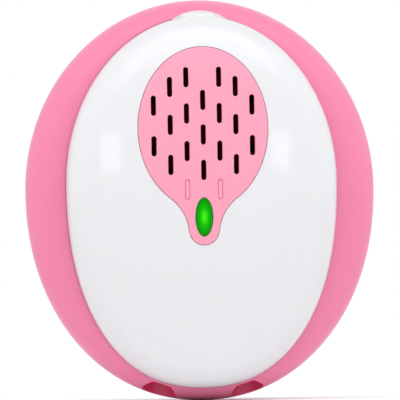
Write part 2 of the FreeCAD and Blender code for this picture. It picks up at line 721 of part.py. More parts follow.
# ---------------------------------------------------------------------------------- speaker
def speaker_basket():
    rim_z = SPEAKER_FRONT_Z - SPEAKER_RIM_THICK
    back_z = rim_z - BASKET_DEPTH
    solid = cylinder(SPEAKER_RADIUS, 0, SPEAKER_Y, rim_z, SPEAKER_FRONT_Z)
    solid = solid.fuse(cylinder(BASKET_RADIUS, 0, SPEAKER_Y, back_z, rim_z))
    hollow = cylinder(BASKET_RADIUS - BASKET_WALL, 0, SPEAKER_Y, back_z + BASKET_WALL, rim_z)
    mouth = cylinder(SPEAKER_RADIUS - GASKET_WIDTH, 0, SPEAKER_Y, rim_z + BASKET_WALL, SPEAKER_FRONT_Z)
    throat = cylinder(BASKET_RADIUS - BASKET_WALL, 0, SPEAKER_Y, rim_z - BASKET_WALL,
                      SPEAKER_FRONT_Z)
    return solid.cut(hollow).cut(mouth).cut(throat)


def speaker_magnet():
    top = SPEAKER_FRONT_Z - SPEAKER_RIM_THICK - BASKET_DEPTH
    return cylinder(MAGNET_RADIUS, 0, SPEAKER_Y, top - MAGNET_DEPTH, top)


def speaker_cone():
    """Thin membrane with a domed middle, its flat edge on the basket's inner step."""
    seat = SPEAKER_FRONT_Z - SPEAKER_RIM_THICK + BASKET_WALL
    edge = SPEAKER_RADIUS - GASKET_WIDTH - SPEAKER_GAP
    face = [(edge, 0.0), (CONE_ROLL, 0.0), (CONE_THROAT, -CONE_SINK),
            (CONE_THROAT * 0.6, -CONE_SINK / 2), (0.0, -CONE_SINK / 3)]
    points = [Vector(r, SPEAKER_Y, seat + z) for r, z in face]
    points += [point + UP * CONE_THICK for point in reversed(points)]
    section = Part.Face(Part.makePolygon(points + points[:1]))
    return section.revolve(Vector(0, SPEAKER_Y, 0), UP, 360)


def speaker_gasket():
    z0 = SPEAKER_FRONT_Z
    return ring(SPEAKER_RADIUS, SPEAKER_RADIUS - GASKET_WIDTH, 0, SPEAKER_Y, z0, z0 + GASKET_THICK)


# ---------------------------------------------------------------------------------- main board
def main_board():
    """Egg-shaped board, trimmed where the dome comes down to its front."""
    top = BOARD_Z + BOARD_THICK
    room = Part.Face(cover_form(COVER_WALL + BOARD_GAP).slice(UP, top)[0])
    board = egg_prism(COVER_EGG, -BOARD_INSET, BOARD_Z, top)
    board = board.common(room.extrude(-UP * BOARD_THICK))
    half_width, above, _, widest_y, _ = COVER_EGG
    board = board.common(box(-half_width, half_width, BOARD_BOTTOM_Y, widest_y + above,
                             BOARD_Z, top))
    holes = [cylinder(BASKET_RADIUS + BOARD_GAP, 0, SPEAKER_Y, BOARD_Z, top)]
    holes += [cylinder(FRONT_POST_RADIUS + BOARD_GAP, x, y, BOARD_Z, top)
              for x, y in mirrored(CASE_SCREWS)]
    holes += [cylinder(BOARD_SCREW_RADIUS + BOARD_HOLE_GAP, x, y, BOARD_Z, top)
              for x, y in mirrored(BOARD_POSTS)]
    for hole in holes:
        board = board.cut(hole)
    return board


def small_screw(x, y, seat_z, direction, reach):
    """Pan-head screw whose head lies against seat_z; direction +1 drives it towards +z."""
    head_radius, head_height = BOARD_SCREW_HEAD
    head = Part.makeCylinder(head_radius, head_height, Vector(0, 0, -head_height))
    rim = [e for e in head.Edges if e.BoundBox.ZMax < -head_height / 2]
    head = head.makeFillet(head_height / 2, rim)
    width, length = BOARD_SCREW_SLOT
    head = head.cut(centred_box(0, 0, width, length, -head_height, -head_height / 2))
    screw = head.fuse(Part.makeCylinder(BOARD_SCREW_RADIUS - THREAD_GAP, reach))
    if direction < 0:
        screw.rotate(Vector(0, 0, 0), Vector(1, 0, 0), 180)
    return moved(screw, x, y, seat_z)


def board_screws():
    reach = BOARD_THICK + BOARD_SCREW_REACH - BOARD_SCREW_END
    return Part.makeCompound([small_screw(x, y, BOARD_Z, 1, reach)
                              for x, y in mirrored(BOARD_POSTS)])


def on_board(shape, side):
    """Puts a shape made upwards from z = 0 on the front of the board, or under its back."""
    if side < 0:
        shape = shape.mirror(Vector(0, 0, 0), UP)
    shape.translate(UP * (BOARD_Z + BOARD_THICK if side > 0 else BOARD_Z))
    return shape


def chip(x, y, width, height, thick, leads, side):
    """Flat package with gull-wing leads on its two long sides."""
    reach, lead_width, lead_thick = CHIP_LEAD
    package = centred_box(x, y, width, height, CHIP_LIFT, thick)
    pins = []
    for i in range(leads):
        lead_y = y + (i - (leads - 1) / 2) * CHIP_PITCH
        pins.append(centred_box(x, lead_y, width + 2 * reach, lead_width, 0.0, lead_thick))
    return on_board(package.multiFuse(pins), side)


def board_chips():
    return Part.makeCompound([chip(*place) for place in CHIPS])


def board_capacitors():
    top = BOARD_Z + BOARD_THICK
    cans = []
    for x, y in CAPACITORS:
        can = cylinder(CAPACITOR_RADIUS, x, y, top, top + CAPACITOR_HEIGHT)
        rim = [e for e in can.Edges if e.BoundBox.ZMin > top + CAPACITOR_HEIGHT / 2]
        cans.append(can.makeFillet(CAPACITOR_EDGE, rim))
    return Part.makeCompound(cans)


def board_crystal():
    """Oblong metal can of the clock crystal, with round ends."""
    length, width, height = CRYSTAL_CAN
    x, y = CRYSTAL_CAN_PLACE
    can = rounded_box(x - length / 2, x + length / 2, y - width / 2, y + width / 2, 0.0, height,
                      width / 2 * 0.9)
    return on_board(can, 1)


def connector(x, y):
    """Two-pin wire header under the board, its mouth open away from the board."""
    width, height, depth = HEADER_SIZE
    shell = centred_box(x, y, width, height, 0.0, depth)
    mouth = centred_box(x, y, width - 2 * HEADER_WALL, height - 2 * HEADER_WALL,
                        HEADER_FLOOR, depth)
    pins = [centred_box(x + side * HEADER_PITCH / 2, y, HEADER_PIN, HEADER_PIN,
                        HEADER_FLOOR / 2, HEADER_PIN_REACH) for side in (-1, 1)]
    return on_board(shell.cut(mouth).multiFuse(pins), -1)


def board_connectors():
    return Part.makeCompound([connector(x, y) for x, y in CONNECTORS.values()])


# ---------------------------------------------------------------------------------- volume control
def toothed_disc(z0, z1):
    """Disc whose rim has fine V-shaped teeth."""
    points = []
    for i in range(2 * WHEEL_TEETH):
        angle = math.pi * i / WHEEL_TEETH
        radius = WHEEL_RADIUS - (WHEEL_TOOTH_DEPTH if i % 2 else 0.0)
        points.append(Vector(radius * math.cos(angle), radius * math.sin(angle), z0))
    disc = prism(Part.makePolygon(points + points[:1]), z1 - z0)
    disc.translate(Vector(0, WHEEL_CENTRE_Y, 0))
    return disc


def volume_wheel():
    top = WHEEL_Z + WHEEL_THICK
    wheel = toothed_disc(WHEEL_Z, top)
    channel = ring(WHEEL_RADIUS - WHEEL_RIM, WHEEL_HUB_RADIUS, 0, WHEEL_CENTRE_Y,
                   WHEEL_Z, top - WHEEL_WEB)
    bore = cylinder(SHAFT_RADIUS, 0, WHEEL_CENTRE_Y, WHEEL_Z, top)
    return wheel.cut(channel).cut(bore)


def volume_shaft():
    z0 = WHEEL_Z + SHAFT_SUNK
    top = BOARD_Z - CONTROL_BACK - SHAFT_END_GAP
    shaft = cylinder(SHAFT_RADIUS, 0, WHEEL_CENTRE_Y, z0, top)
    bore_top = WHEEL_Z + WHEEL_SCREW_LENGTH + SCREW_END
    return shaft.cut(cylinder(SHAFT_BORE, 0, WHEEL_CENTRE_Y, z0, bore_top))


def wheel_screw():
    """Screw with a fixed washer that clamps the wheel to its shaft."""
    head_radius, head_height = WHEEL_SCREW_HEAD
    washer_radius, washer_thick = WHEEL_WASHER
    seat, low = WHEEL_Z + SHAFT_SUNK, WHEEL_Z - head_height
    head = cylinder(washer_radius, 0, WHEEL_CENTRE_Y, WHEEL_Z - washer_thick, WHEEL_Z)
    head = head.fuse(cylinder(head_radius, 0, WHEEL_CENTRE_Y, low, seat))
    width, length = WHEEL_SCREW_SLOT
    slot = centred_box(0, WHEEL_CENTRE_Y, width, length, low, low + head_height / 2)
    shank = cylinder(SHAFT_BORE - THREAD_GAP, 0, WHEEL_CENTRE_Y, seat, WHEEL_Z + WHEEL_SCREW_LENGTH)
    return head.cut(slot).fuse(shank)


def volume_control():
    """Body of the switched potentiometer, fixed to the back of the board."""
    z0 = WHEEL_Z + WHEEL_THICK + FIT_GAP
    body = cylinder(CONTROL_RADIUS, 0, WHEEL_CENTRE_Y, z0, BOARD_Z)
    bore = cylinder(SHAFT_RADIUS + RUN_GAP, 0, WHEEL_CENTRE_Y, z0, BOARD_Z - CONTROL_BACK)
    return body.cut(bore)


# ---------------------------------------------------------------------------------- battery
def battery_span():
    """Left end of the block, shoulder and tip of its studs."""
    x0 = compartment_box()[0] + BATTERY_ROOM
    return x0, x0 + BATTERY_LENGTH - BATTERY_STUD, x0 + BATTERY_LENGTH


def battery():
    x0, shoulder, _ = battery_span()
    half = BATTERY_WIDTH / 2
    block = box(x0, shoulder, BATTERY_Y - half, BATTERY_Y + half, battery_z(),
                battery_z() + BATTERY_DEPTH)
    long_edges = [e for e in block.Edges if e.BoundBox.XLength > BATTERY_WIDTH]
    return block.makeFillet(BATTERY_EDGE, long_edges)


def stud_places():
    z = battery_z() + BATTERY_DEPTH / 2
    return ((BATTERY_Y + STUD_PITCH / 2, z, STUD_PLUS_RADIUS),
            (BATTERY_Y - STUD_PITCH / 2, z, STUD_MINUS_RADIUS))


def battery_terminals():
    _, shoulder, tip = battery_span()
    studs = []
    for y, z, radius in stud_places():
        stud = Part.makeCylinder(radius, tip - shoulder, Vector(shoulder, y, z), Vector(1, 0, 0))
        rim = [e for e in stud.Edges if e.BoundBox.XMin > tip - STUD_EDGE]
        studs.append(stud.makeFillet(STUD_EDGE, rim))
    return Part.makeCompound(studs)


def battery_contacts():
    """Two sprung plates at the end of the compartment, bowed towards the studs."""
    _, _, tip = battery_span()
    wall = compartment_box()[1]
    width, height = CONTACT_SIZE
    plates = []
    for y, z, _ in stud_places():
        back = box(wall - CONTACT_THICK, wall, y - width / 2, y + width / 2,
                   z - height / 2, z + height / 2)
        bow = Part.makeCylinder(CONTACT_NOSE, width / 2, Vector(tip + CONTACT_NOSE, y - width / 4, z),
                                Vector(0, 1, 0))
        bow = bow.common(box(tip, wall, y - width, y + width, z - height, z + height))
        plates.append(back.fuse(bow))
    return Part.makeCompound(plates)


# ---------------------------------------------------------------------------------- battery door
def battery_door():
    middle = DOOR_THICK / 2
    plate = rounded_box(-DOOR_HALF_WIDTH, DOOR_HALF_WIDTH, HINGE_Y - 5 * DOOR_CORNER, DOOR_TOP_Y,
                        0.0, DOOR_THICK, DOOR_CORNER)
    plate = plate.common(box(-DOOR_HALF_WIDTH, DOOR_HALF_WIDTH, HINGE_Y, DOOR_TOP_Y,
                             0.0, DOOR_THICK))
    nose = Part.makeCylinder(middle, 2 * DOOR_HALF_WIDTH,
                             Vector(-DOOR_HALF_WIDTH, HINGE_Y, middle), Vector(1, 0, 0))
    length = DOOR_HALF_WIDTH + HINGE_PIN_LENGTH
    pins = Part.makeCylinder(HINGE_PIN_RADIUS, 2 * length, Vector(-length, HINGE_Y, middle),
                             Vector(1, 0, 0))
    half, start = TONGUE_WIDTH / 2, DOOR_TOP_Y - TONGUE_LENGTH
    hook = box(-hook_half_width(), hook_half_width(), DOOR_TOP_Y - HOOK_THICK,
               DOOR_TOP_Y + HOOK_REACH, DOOR_THICK - HOOK_THICK, DOOR_THICK)
    door = plate.multiFuse([nose, pins, hook])
    for side in (-1, 1):
        x0, x1 = sorted((side * half, side * (half + TONGUE_SLOT)))
        door = door.cut(box(x0, x1, start, DOOR_TOP_Y + OVERSHOOT, -OVERSHOOT,
                            DOOR_THICK + OVERSHOOT))
    nail = cylinder(NAIL_RADIUS, 0, DOOR_TOP_Y - NAIL_RADIUS / 2, -OVERSHOOT, NAIL_DEPTH / 2)
    nail = nail.common(box(-half, half, DOOR_TOP_Y - NAIL_LAND, DOOR_TOP_Y + OVERSHOOT,
                           -OVERSHOOT, NAIL_DEPTH / 2))
    door = door.cut(nail)
    length, width, height = DOOR_RIB
    for i in range(DOOR_RIBS):
        y = start - DOOR_RIB_START - i * DOOR_RIB_PITCH
        door = door.cut(centred_box(0, y, length, width, -OVERSHOOT, height))
    return door


def battery_door_pad():
    width, height, thick = PAD_SIZE
    return centred_box(0, BATTERY_Y, width, height, DOOR_THICK, DOOR_THICK + thick)


# ---------------------------------------------------------------------------------- probe
def probe_face():
    z0 = -PROBE_PROUD
    cup = cylinder(PROBE_RADIUS, 0, PROBE_Y, z0, z0 + PROBE_DEPTH)
    rim = [e for e in cup.Edges if e.BoundBox.ZMax < z0 + PROBE_EDGE / 2]
    cup = cup.makeFillet(PROBE_EDGE, rim)
    flange_z = PROBE_SEAT_Z + PROBE_GASKET_THICK
    cup = cup.fuse(cylinder(PROBE_RADIUS + PROBE_FLANGE, 0, PROBE_Y, flange_z,
                            flange_z + PROBE_FLANGE_THICK))
    return cup.cut(cylinder(PROBE_RADIUS - PROBE_WALL, 0, PROBE_Y, z0 + PROBE_FACE_THICK,
                            z0 + PROBE_DEPTH + OVERSHOOT))


def probe_gasket():
    return ring(PROBE_RADIUS + PROBE_FLANGE, PROBE_RADIUS + RUN_GAP, 0, PROBE_Y, PROBE_SEAT_Z,
                PROBE_SEAT_Z + PROBE_GASKET_THICK)


def crystal(side):
    """Half-disc of piezo ceramic."""
    z0 = -PROBE_PROUD + PROBE_FACE_THICK
    disc = cylinder(CRYSTAL_RADIUS, 0, PROBE_Y, z0, z0 + CRYSTAL_THICK)
    x0, x1 = sorted((side * CRYSTAL_SPLIT / 2, side * CRYSTAL_RADIUS))
    return disc.common(box(x0, x1, PROBE_Y - CRYSTAL_RADIUS, PROBE_Y + CRYSTAL_RADIUS,
                           z0, z0 + CRYSTAL_THICK))


def probe_backing():
    z0 = -PROBE_PROUD + PROBE_FACE_THICK + CRYSTAL_THICK
    return cylinder(PROBE_RADIUS - PROBE_WALL - BACKING_GAP, 0, PROBE_Y, z0,
                    -PROBE_PROUD + PROBE_DEPTH)


def probe_shield():
    z0 = -PROBE_PROUD + PROBE_DEPTH
    can = cylinder(PROBE_RADIUS, 0, PROBE_Y, z0, z0 + SHIELD_HEIGHT)
    hollow = cylinder(PROBE_RADIUS - SHIELD_WALL, 0, PROBE_Y, z0, z0 + SHIELD_HEIGHT - SHIELD_WALL)
    rim = [e for e in can.Edges if e.BoundBox.ZMin > z0 + SHIELD_HEIGHT / 2]
    return can.makeFillet(SHIELD_EDGE, rim).cut(hollow)


# ---------------------------------------------------------------------------------- sockets
def jack_start():
    """Distance from the outline to the front of the socket's housing."""
    return RECESS_DEPTH + RECESS_WALL + JACK_GAP


def jack_board_z():
    return JACK_Z + JACK_HEIGHT / 2


def earphone_jack(side):
    start = jack_start()
    body = box(-JACK_WIDTH / 2, JACK_WIDTH / 2, start, start + JACK_LENGTH,
               -JACK_HEIGHT / 2, JACK_HEIGHT / 2)
    body = body.cut(along(JACK_BORE, start, start + JACK_LENGTH - JACK_END_WALL))
    return jack_frame(side, body)


def jack_ferrule(side):
    start = jack_start()
    nose = along(FERRULE_RADIUS, RECESS_DEPTH + FERRULE_SUNK, start)
    nose = nose.cut(along(JACK_BORE, 0.0, start))
    return jack_frame(side, nose)


def jack_board():
    z0 = jack_board_z()
    width, height = JACK_BOARD_SIZE
    board = centred_box(0, JACK_BOARD_Y, width, height, z0, z0 + JACK_BOARD_THICK)
    board = board.common(egg_prism(COVER_EGG, -COVER_WALL - BOARD_GAP, z0, z0 + JACK_BOARD_THICK))
    for side in (-1, 1):
        board = board.cut(cylinder(BOARD_SCREW_RADIUS + BOARD_HOLE_GAP, side * JACK_POST[0], JACK_POST[1],
                                   z0, z0 + JACK_BOARD_THICK))
    return board


def jack_board_screws():
    seat = jack_board_z() + JACK_BOARD_THICK
    reach = JACK_BOARD_THICK + BOARD_SCREW_REACH - BOARD_SCREW_END
    return Part.makeCompound([small_screw(side * JACK_POST[0], JACK_POST[1], seat, -1, reach)
                              for side in (-1, 1)])


# ---------------------------------------------------------------------------------- case screws
def case_screw(x, y):
    head_z = SCREW_SUNK_Z - SCREW_HEAD_HEIGHT
    head = cylinder(SCREW_HEAD_RADIUS, 0, 0, head_z, SCREW_SUNK_Z)
    rim = [e for e in head.Edges if e.BoundBox.ZMax < head_z + SCREW_HEAD_HEIGHT / 2]
    head = head.makeFillet(SCREW_HEAD_HEIGHT / 2, rim)
    width, length, depth = SCREW_SOCKET
    for w, h in ((width, length), (length, width)):
        head = head.cut(centred_box(0, 0, w, h, head_z, head_z + depth))
    screw = head.fuse(cylinder(SCREW_RADIUS - THREAD_GAP, 0, 0, SCREW_SUNK_Z,
                               SCREW_SUNK_Z + SCREW_LENGTH))
    return moved(screw, x, y, 0)


def case_screws():
    return Part.makeCompound([case_screw(x, y) for x, y in mirrored(CASE_SCREWS)])


# ---------------------------------------------------------------------------------- wires
def lead_hole(y, z):
    """Hole in the end wall of the battery compartment for one lead."""
    x = compartment_box()[1]
    return Part.makeCylinder(WIRE_RADIUS + WIRE_GAP, COMPARTMENT_WALL + 2 * OVERSHOOT,
                             Vector(x - OVERSHOOT, y, z), Vector(1, 0, 0))


def header_mouth():
    """Height at which a wire ends inside a header on the back of the board."""
    return BOARD_Z - HEADER_PIN_REACH - WIRE_GAP


def battery_leads():
    """From the sprung plates, out through the end wall, round the corner to the battery header."""
    x, y = CONNECTORS["battery"]
    wall = compartment_box()[1]
    outside, corner = wall + COMPARTMENT_WALL + 1.7, compartment_box()[2] - COMPARTMENT_WALL
    (plus_y, z, _), (minus_y, _, _) = stud_places()
    end = header_mouth()
    plus = [(wall, plus_y, z), (outside, plus_y, z), (outside, plus_y - 2.4, z + 3.8),
            (outside - 0.2, plus_y - 7.8, z + 7.1), (outside - 0.2, corner + 5.6, z + 7.7),
            (outside - 0.6, corner - 1.2, z + 7.3), (x + 5.5, corner - 2.8, z + 6.7),
            (x + 1.0, y, end - 4.3), (x + 1.0, y, end)]
    minus = [(wall, minus_y, z), (outside, minus_y, z), (outside - 0.3, minus_y - 4.6, z + 0.8),
             (outside - 0.4, corner - 1.4, z + 1.4), (x + 9.0, corner - 2.4, z + 1.8),
             (x + 3.5, corner - 2.6, z + 2.6), (x - 1.0, y, end - 5.0), (x - 1.0, y, end)]
    return Part.makeCompound([tube([Vector(*p) for p in route], WIRE_RADIUS)
                              for route in (plus, minus)])


def speaker_leads():
    """Two short wires from the back of the speaker's rim to the board."""
    rim_z = SPEAKER_FRONT_Z - SPEAKER_RIM_THICK - SPEAKER_LEAD_RADIUS - RUN_GAP
    edge = SPEAKER_Y - SPEAKER_RADIUS
    top = BOARD_Z + BOARD_THICK + SPEAKER_LEAD_RADIUS
    leads = []
    for x in (-2.0, 2.0):
        route = [(x, edge + 2.0, rim_z), (x, edge - 0.6, rim_z), (x, edge - 2.4, top),
                 (x, edge - 4.0, top)]
        leads.append(tube([Vector(*p) for p in route], SPEAKER_LEAD_RADIUS))
    return Part.makeCompound(leads)


def probe_cables():
    """Two screened cables from the can over the crystals to the probe's header."""
    x, y = CONNECTORS["probe"]
    start, end = SHIELD_HEIGHT + PROBE_DEPTH - PROBE_PROUD, header_mouth()
    cables = []
    for side in (-1, 1):
        route = [(side * 3.0, PROBE_Y, start), (side * 3.0, PROBE_Y, start + 6.0),
                 (side * 2.4, PROBE_Y + 6.0, end - 6.5), (side * 1.1, y - 0.8, end - 6.0),
                 (x + side * 1.1, y, end)]
        cables.append(tube([Vector(*p) for p in route], CABLE_RADIUS))
    return Part.makeCompound(cables)


def jack_cable():
    """Three wires from the sockets' board to their header on the main board."""
    x, y = CONNECTORS["jacks"]
    start, end = jack_board_z() + JACK_BOARD_THICK, header_mouth()
    wires = []
    for i in (-1, 0, 1):
        dx = i * (2 * WIRE_RADIUS + WIRE_GAP)
        route = [(x + 2.5 + dx, JACK_POST[1] + 0.6, start),
                 (x + 2.5 + dx, JACK_POST[1] + 0.6, start + 2.4),
                 (x + 1.5 + dx, JACK_POST[1] + 6.0, start + 2.0), (x + dx, y - 3.0, end - 4.5),
                 (x + dx, y, end - 3.5), (x + dx, y, end)]
        wires.append(tube([Vector(*p) for p in route], WIRE_RADIUS))
    return Part.makeCompound(wires)


# ---------------------------------------------------------------------------------- assembly
def stand_up(shape):
    """Turns a piece from its modelling position so that the face looks along -Y."""
    shape = shape.copy()
    origin = Vector(0, PROBE_Y, -PROBE_PROUD)
    shape.translate(-origin)
    shape.rotate(Vector(0, 0, 0), Vector(1, 0, 0), 90)
    return shape


NODES = {
    "rear_shell": rear_shell,
    "front_cover": front_cover,
    "speaker_grille": speaker_grille,
    "dust_cloth": dust_cloth,
    "led_lens": led_lens,
    "signal_led": signal_led,
    "speaker_basket": speaker_basket,
    "speaker_magnet": speaker_magnet,
    "speaker_cone": speaker_cone,
    "speaker_gasket": speaker_gasket,
    "main_board": main_board,
    "board_screws": board_screws,
    "board_chips": board_chips,
    "board_capacitors": board_capacitors,
    "board_crystal": board_crystal,
    "board_connectors": board_connectors,
    "volume_wheel": volume_wheel,
    "volume_shaft": volume_shaft,
    "wheel_screw": wheel_screw,
    "volume_control": volume_control,
    "battery": battery,
    "battery_terminals": battery_terminals,
    "battery_contacts": battery_contacts,
    "battery_door": battery_door,
    "battery_door_pad": battery_door_pad,
    "probe_face": probe_face,
    "probe_gasket": probe_gasket,
    "transmit_crystal": lambda: crystal(-1),
    "receive_crystal": lambda: crystal(1),
    "probe_backing": probe_backing,
    "probe_shield": probe_shield,
    "earphone_jack_left": lambda: earphone_jack(-1),
    "earphone_jack_right": lambda: earphone_jack(1),
    "jack_ferrule_left": lambda: jack_ferrule(-1),
    "jack_ferrule_right": lambda: jack_ferrule(1),
    "jack_board": jack_board,
    "jack_board_screws": jack_board_screws,
    "case_screws": case_screws,
    "battery_leads": battery_leads,
    "speaker_leads": speaker_leads,
    "probe_cables": probe_cables,
    "jack_cable": jack_cable,
}

for name, make in NODES.items():
    piece = stand_up(make())
    print("%-20s solids %d valid %s volume %.1f" % (
        name, len(piece.Solids), piece.isValid(), piece.Volume))
    piece.exportStep("parts/%s.step" % name)
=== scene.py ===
"""Finished looks for a pocket fetal doppler: smooth shells, a slotted grille, a glowing lens, a
serrated thumbwheel, a battery door and a probe, with a finish for every other piece.

Shapes are worked out with the case lying on its back, in millimetres: x to the right, y up the
face towards the thumbwheel, z from the flat of the back towards the user. stand() carries a point
to the standing frame, in metres.
"""
import math

import bmesh
import bpy
import numpy as np
from bpy.props import FloatProperty, FloatVectorProperty, IntProperty, PointerProperty
from mathutils import Matrix, Vector


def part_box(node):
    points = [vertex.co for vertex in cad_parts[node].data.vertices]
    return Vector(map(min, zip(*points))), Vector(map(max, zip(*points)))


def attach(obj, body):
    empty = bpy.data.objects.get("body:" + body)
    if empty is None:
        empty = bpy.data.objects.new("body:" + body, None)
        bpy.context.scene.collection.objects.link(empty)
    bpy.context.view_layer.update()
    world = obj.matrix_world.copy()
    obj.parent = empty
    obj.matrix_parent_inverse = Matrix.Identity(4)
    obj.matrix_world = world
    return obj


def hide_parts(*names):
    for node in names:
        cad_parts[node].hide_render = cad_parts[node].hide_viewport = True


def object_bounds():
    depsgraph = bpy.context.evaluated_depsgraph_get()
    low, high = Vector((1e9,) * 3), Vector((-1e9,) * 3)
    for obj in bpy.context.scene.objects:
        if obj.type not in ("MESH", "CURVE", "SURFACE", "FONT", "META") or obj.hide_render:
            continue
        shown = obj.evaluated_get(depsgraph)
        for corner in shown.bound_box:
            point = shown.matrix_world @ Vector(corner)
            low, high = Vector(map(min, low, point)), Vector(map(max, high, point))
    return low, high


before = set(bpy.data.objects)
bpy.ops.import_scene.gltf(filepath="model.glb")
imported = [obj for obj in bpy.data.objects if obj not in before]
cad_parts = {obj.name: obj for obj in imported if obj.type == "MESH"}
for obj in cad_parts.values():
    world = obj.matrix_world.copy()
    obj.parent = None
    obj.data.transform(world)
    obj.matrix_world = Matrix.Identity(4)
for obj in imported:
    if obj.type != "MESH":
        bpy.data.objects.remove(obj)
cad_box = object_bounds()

bl_info = {
    "name": "Pocket Fetal Doppler",
    "version": (1, 0, 0),
    "blender": (4, 5, 0),
    "location": "3D View > Sidebar > Doppler",
    "description": "Builds the shells, grille, lens, wheel and door of a pocket fetal doppler",
    "category": "Add Mesh",
}

# ---- Case outlines: half width, reach above and below the widest line, the line, lower power ----
CASE_EGG = (40.56, 44.06, 48.92, 2.43, 2.09)
COVER_EGG = (31.41, 38.53, 47.76, 4.18, 2.27)

# ---- Case heights and walls ----
BACK_INSET = 9.5
RIM_Z = 11.0
BAND_RISE = 7.5
DOME_TOP = 34.5
DOME_APEX_Y = 6.0
DOME_RADIUS_X = 80.0
DOME_RADIUS_Y = 130.0
COVER_EDGE_RADIUS = 8.0
BACK_WALL = 2.4
BAND_WALL = 2.1
COVER_WALL = 2.0
SEAT_DEPTH = 1.3
SEAT_GAP = 0.02
CREST_INSET = 0.6
LEDGE_WIDTH = 2.2
LEDGE_THICK = 1.8
FIT_GAP = 0.3
BAND_TOP = RIM_Z + BAND_RISE
SEAT_Z = BAND_TOP - SEAT_DEPTH

# ---- Grille and lens ----
FAN_CENTRE = (0.0, 15.2)       # the rays of the cover and the grille start here, in the middle slot
DROP_CENTRE_Y = 16.7
DROP_HALF_WIDTH = 15.1
DROP_HALF_HEIGHT = 18.9
TAIL_RADIUS = 3.5
TAIL_CENTRE_Y = -6.9
TAIL_FILLET = 11.0
GRILLE_GAP = 0.08
GRILLE_PROUD = 0.2
GRILLE_DEPTH = 3.0
SLOT_WIDTH = 1.2
SLOT_LENGTH = 4.7
SLOT_PITCH_X = 3.8
SLOT_COLUMNS = {0: (23.2, 15.2, 7.0), 1: (28.5, 20.1, 11.4), 2: (26.3, 17.5, 8.25), 3: (22.0, 12.6)}
BLIND_SLOT = (1, 2.5)
BLIND_DEPTH = 0.4
BLIND_FLOOR = 0.1             # depth of a blind slot's plug, inside the groove round it
BLIND_GROOVE = 0.17
LENS_CENTRE_Y = -3.9
LENS_WIDTH = 4.0
LENS_HEIGHT = 8.9
LENS_PROUD = 0.45
LENS_GAP = 0.08
LENS_EDGE = 0.5
LENS_GREENS = ((0.42, (0.0, 0.54, 0.0)), (0.8, (0.0, 0.36, 0.0)))  # between its middle and its rim

# ---- Thumbwheel ----
WHEEL_CENTRE_Y = 33.1
WHEEL_RADIUS = 11.0
WHEEL_Z = 18.8
WHEEL_THICK = 3.0
WHEEL_HUB_RADIUS = 4.2
WHEEL_WEB = 1.4
WHEEL_RIM = 2.2
WHEEL_SOFT = 0.2
SHAFT_RADIUS = 3.0
TOOTH_ROOT = 0.4               # how deep a tooth stands in the rim
TOOTH_CHAMFER = 0.18
TOOTH_END = 0.35               # height of a tooth at its chamfered ends, as a share
TOOTH_TIP = (0.8, 0.22)        # height and width of a tooth's tip, as shares of its own

# ---- Battery, its compartment and its door ----
CELL_HALF_LENGTH = 25.05
CELL_Y = (-8.9, 17.9)
CELL_CEILING = 20.6
CELL_WALL = 1.2
CELL_BANDS = (0.03, 0.30, 0.965)  # where its wrap turns gold, black and silver, as shares
DOOR_HALF_WIDTH = 27.5
DOOR_TOP_Y = 20.0
DOOR_THICK = 2.0
DOOR_CORNER = 4.0
HINGE_Y = -10.0
HINGE_PIN_RADIUS = 0.55
HINGE_PIN_LENGTH = 1.1
HINGE_BORE = 0.6
FRAME_THICK = 1.5
FRAME_MARGIN = 1.0
TONGUE_WIDTH = 12.0
TONGUE_LENGTH = 8.0
TONGUE_SLOT = 0.8
HOOK_REACH = 0.22
HOOK_THICK = 0.8
DOOR_BEVEL = 0.15
NAIL_RADIUS = 7.0
NAIL_DEPTH = 1.4
NAIL_LAND = 2.4
NAIL_SWEEP = (30, 150, 40)     # first and last angle of its arc, and the points on it
DOOR_RIB = (16.0, 0.8, 0.35)
DOOR_RIB_PITCH = 1.9
DOOR_RIB_START = 2.0
DOOR_RIBS = 3

# ---- Probe ----
PROBE_Y = -27.0
PROBE_RADIUS = 13.0
PROBE_PROUD = 2.0
PROBE_EDGE = 1.0
PROBE_GAP = 0.25
PROBE_RING_WIDTH = 1.6
PROBE_RING_PROUD = 1.0
PROBE_SEAT_Z = 2.8
PROBE_FLANGE = 1.4
PROBE_FLANGE_LIFT = 0.3
PROBE_FLANGE_THICK = 1.0
PROBE_POLE = 0.05
PROBE_DEPTH = 6.2
PROBE_WALL = 1.3
PROBE_FACE_THICK = 2.0

# ---- Earphone sockets ----
JACK_X = 10.5
JACK_TILT = 18.0
JACK_Z = 14.8
JACK_BORE = 1.8
RECESS_RADIUS = 3.95
RECESS_DEPTH = 2.6
RECESS_WALL = 1.5
RECESS_RING = 1.2
RECESS_SKIN = 1.8
RECESS_SHADE_BLEND = (0.02, 0.1)     # the recess's painted shade ends between these distances past it
FERRULE_RADIUS = 2.4
FERRULE_GAP = 0.1
FERRULE_SUNK = 0.3
FERRULE_SOFT = 0.2
FERRULE_HOLE_DEPTH = 5.0
HOUSING_GAP = 0.1              # between the shell and the housing behind a socket's nose

# ---- Case screws ----
CASE_SCREWS = [(side * x, y) for x, y in ((20.5, 24.0), (21.0, -18.0)) for side in (-1, 1)]
SCREW_HEAD_RADIUS = 2.6
SCREW_HEAD_HEIGHT = 1.8
SCREW_SUNK_Z = 6.0
SCREW_CROSS = (0.5, 3.2, 0.9)  # width, length and depth of the cross
SCREW_RADIUS = 1.2
SCREW_LENGTH = 13.9
SCREW_POLE = 0.02
SHANK_GAP_RADIUS = 1.45
REAR_POST_RADIUS = 4.2
POST_GAP = 0.2

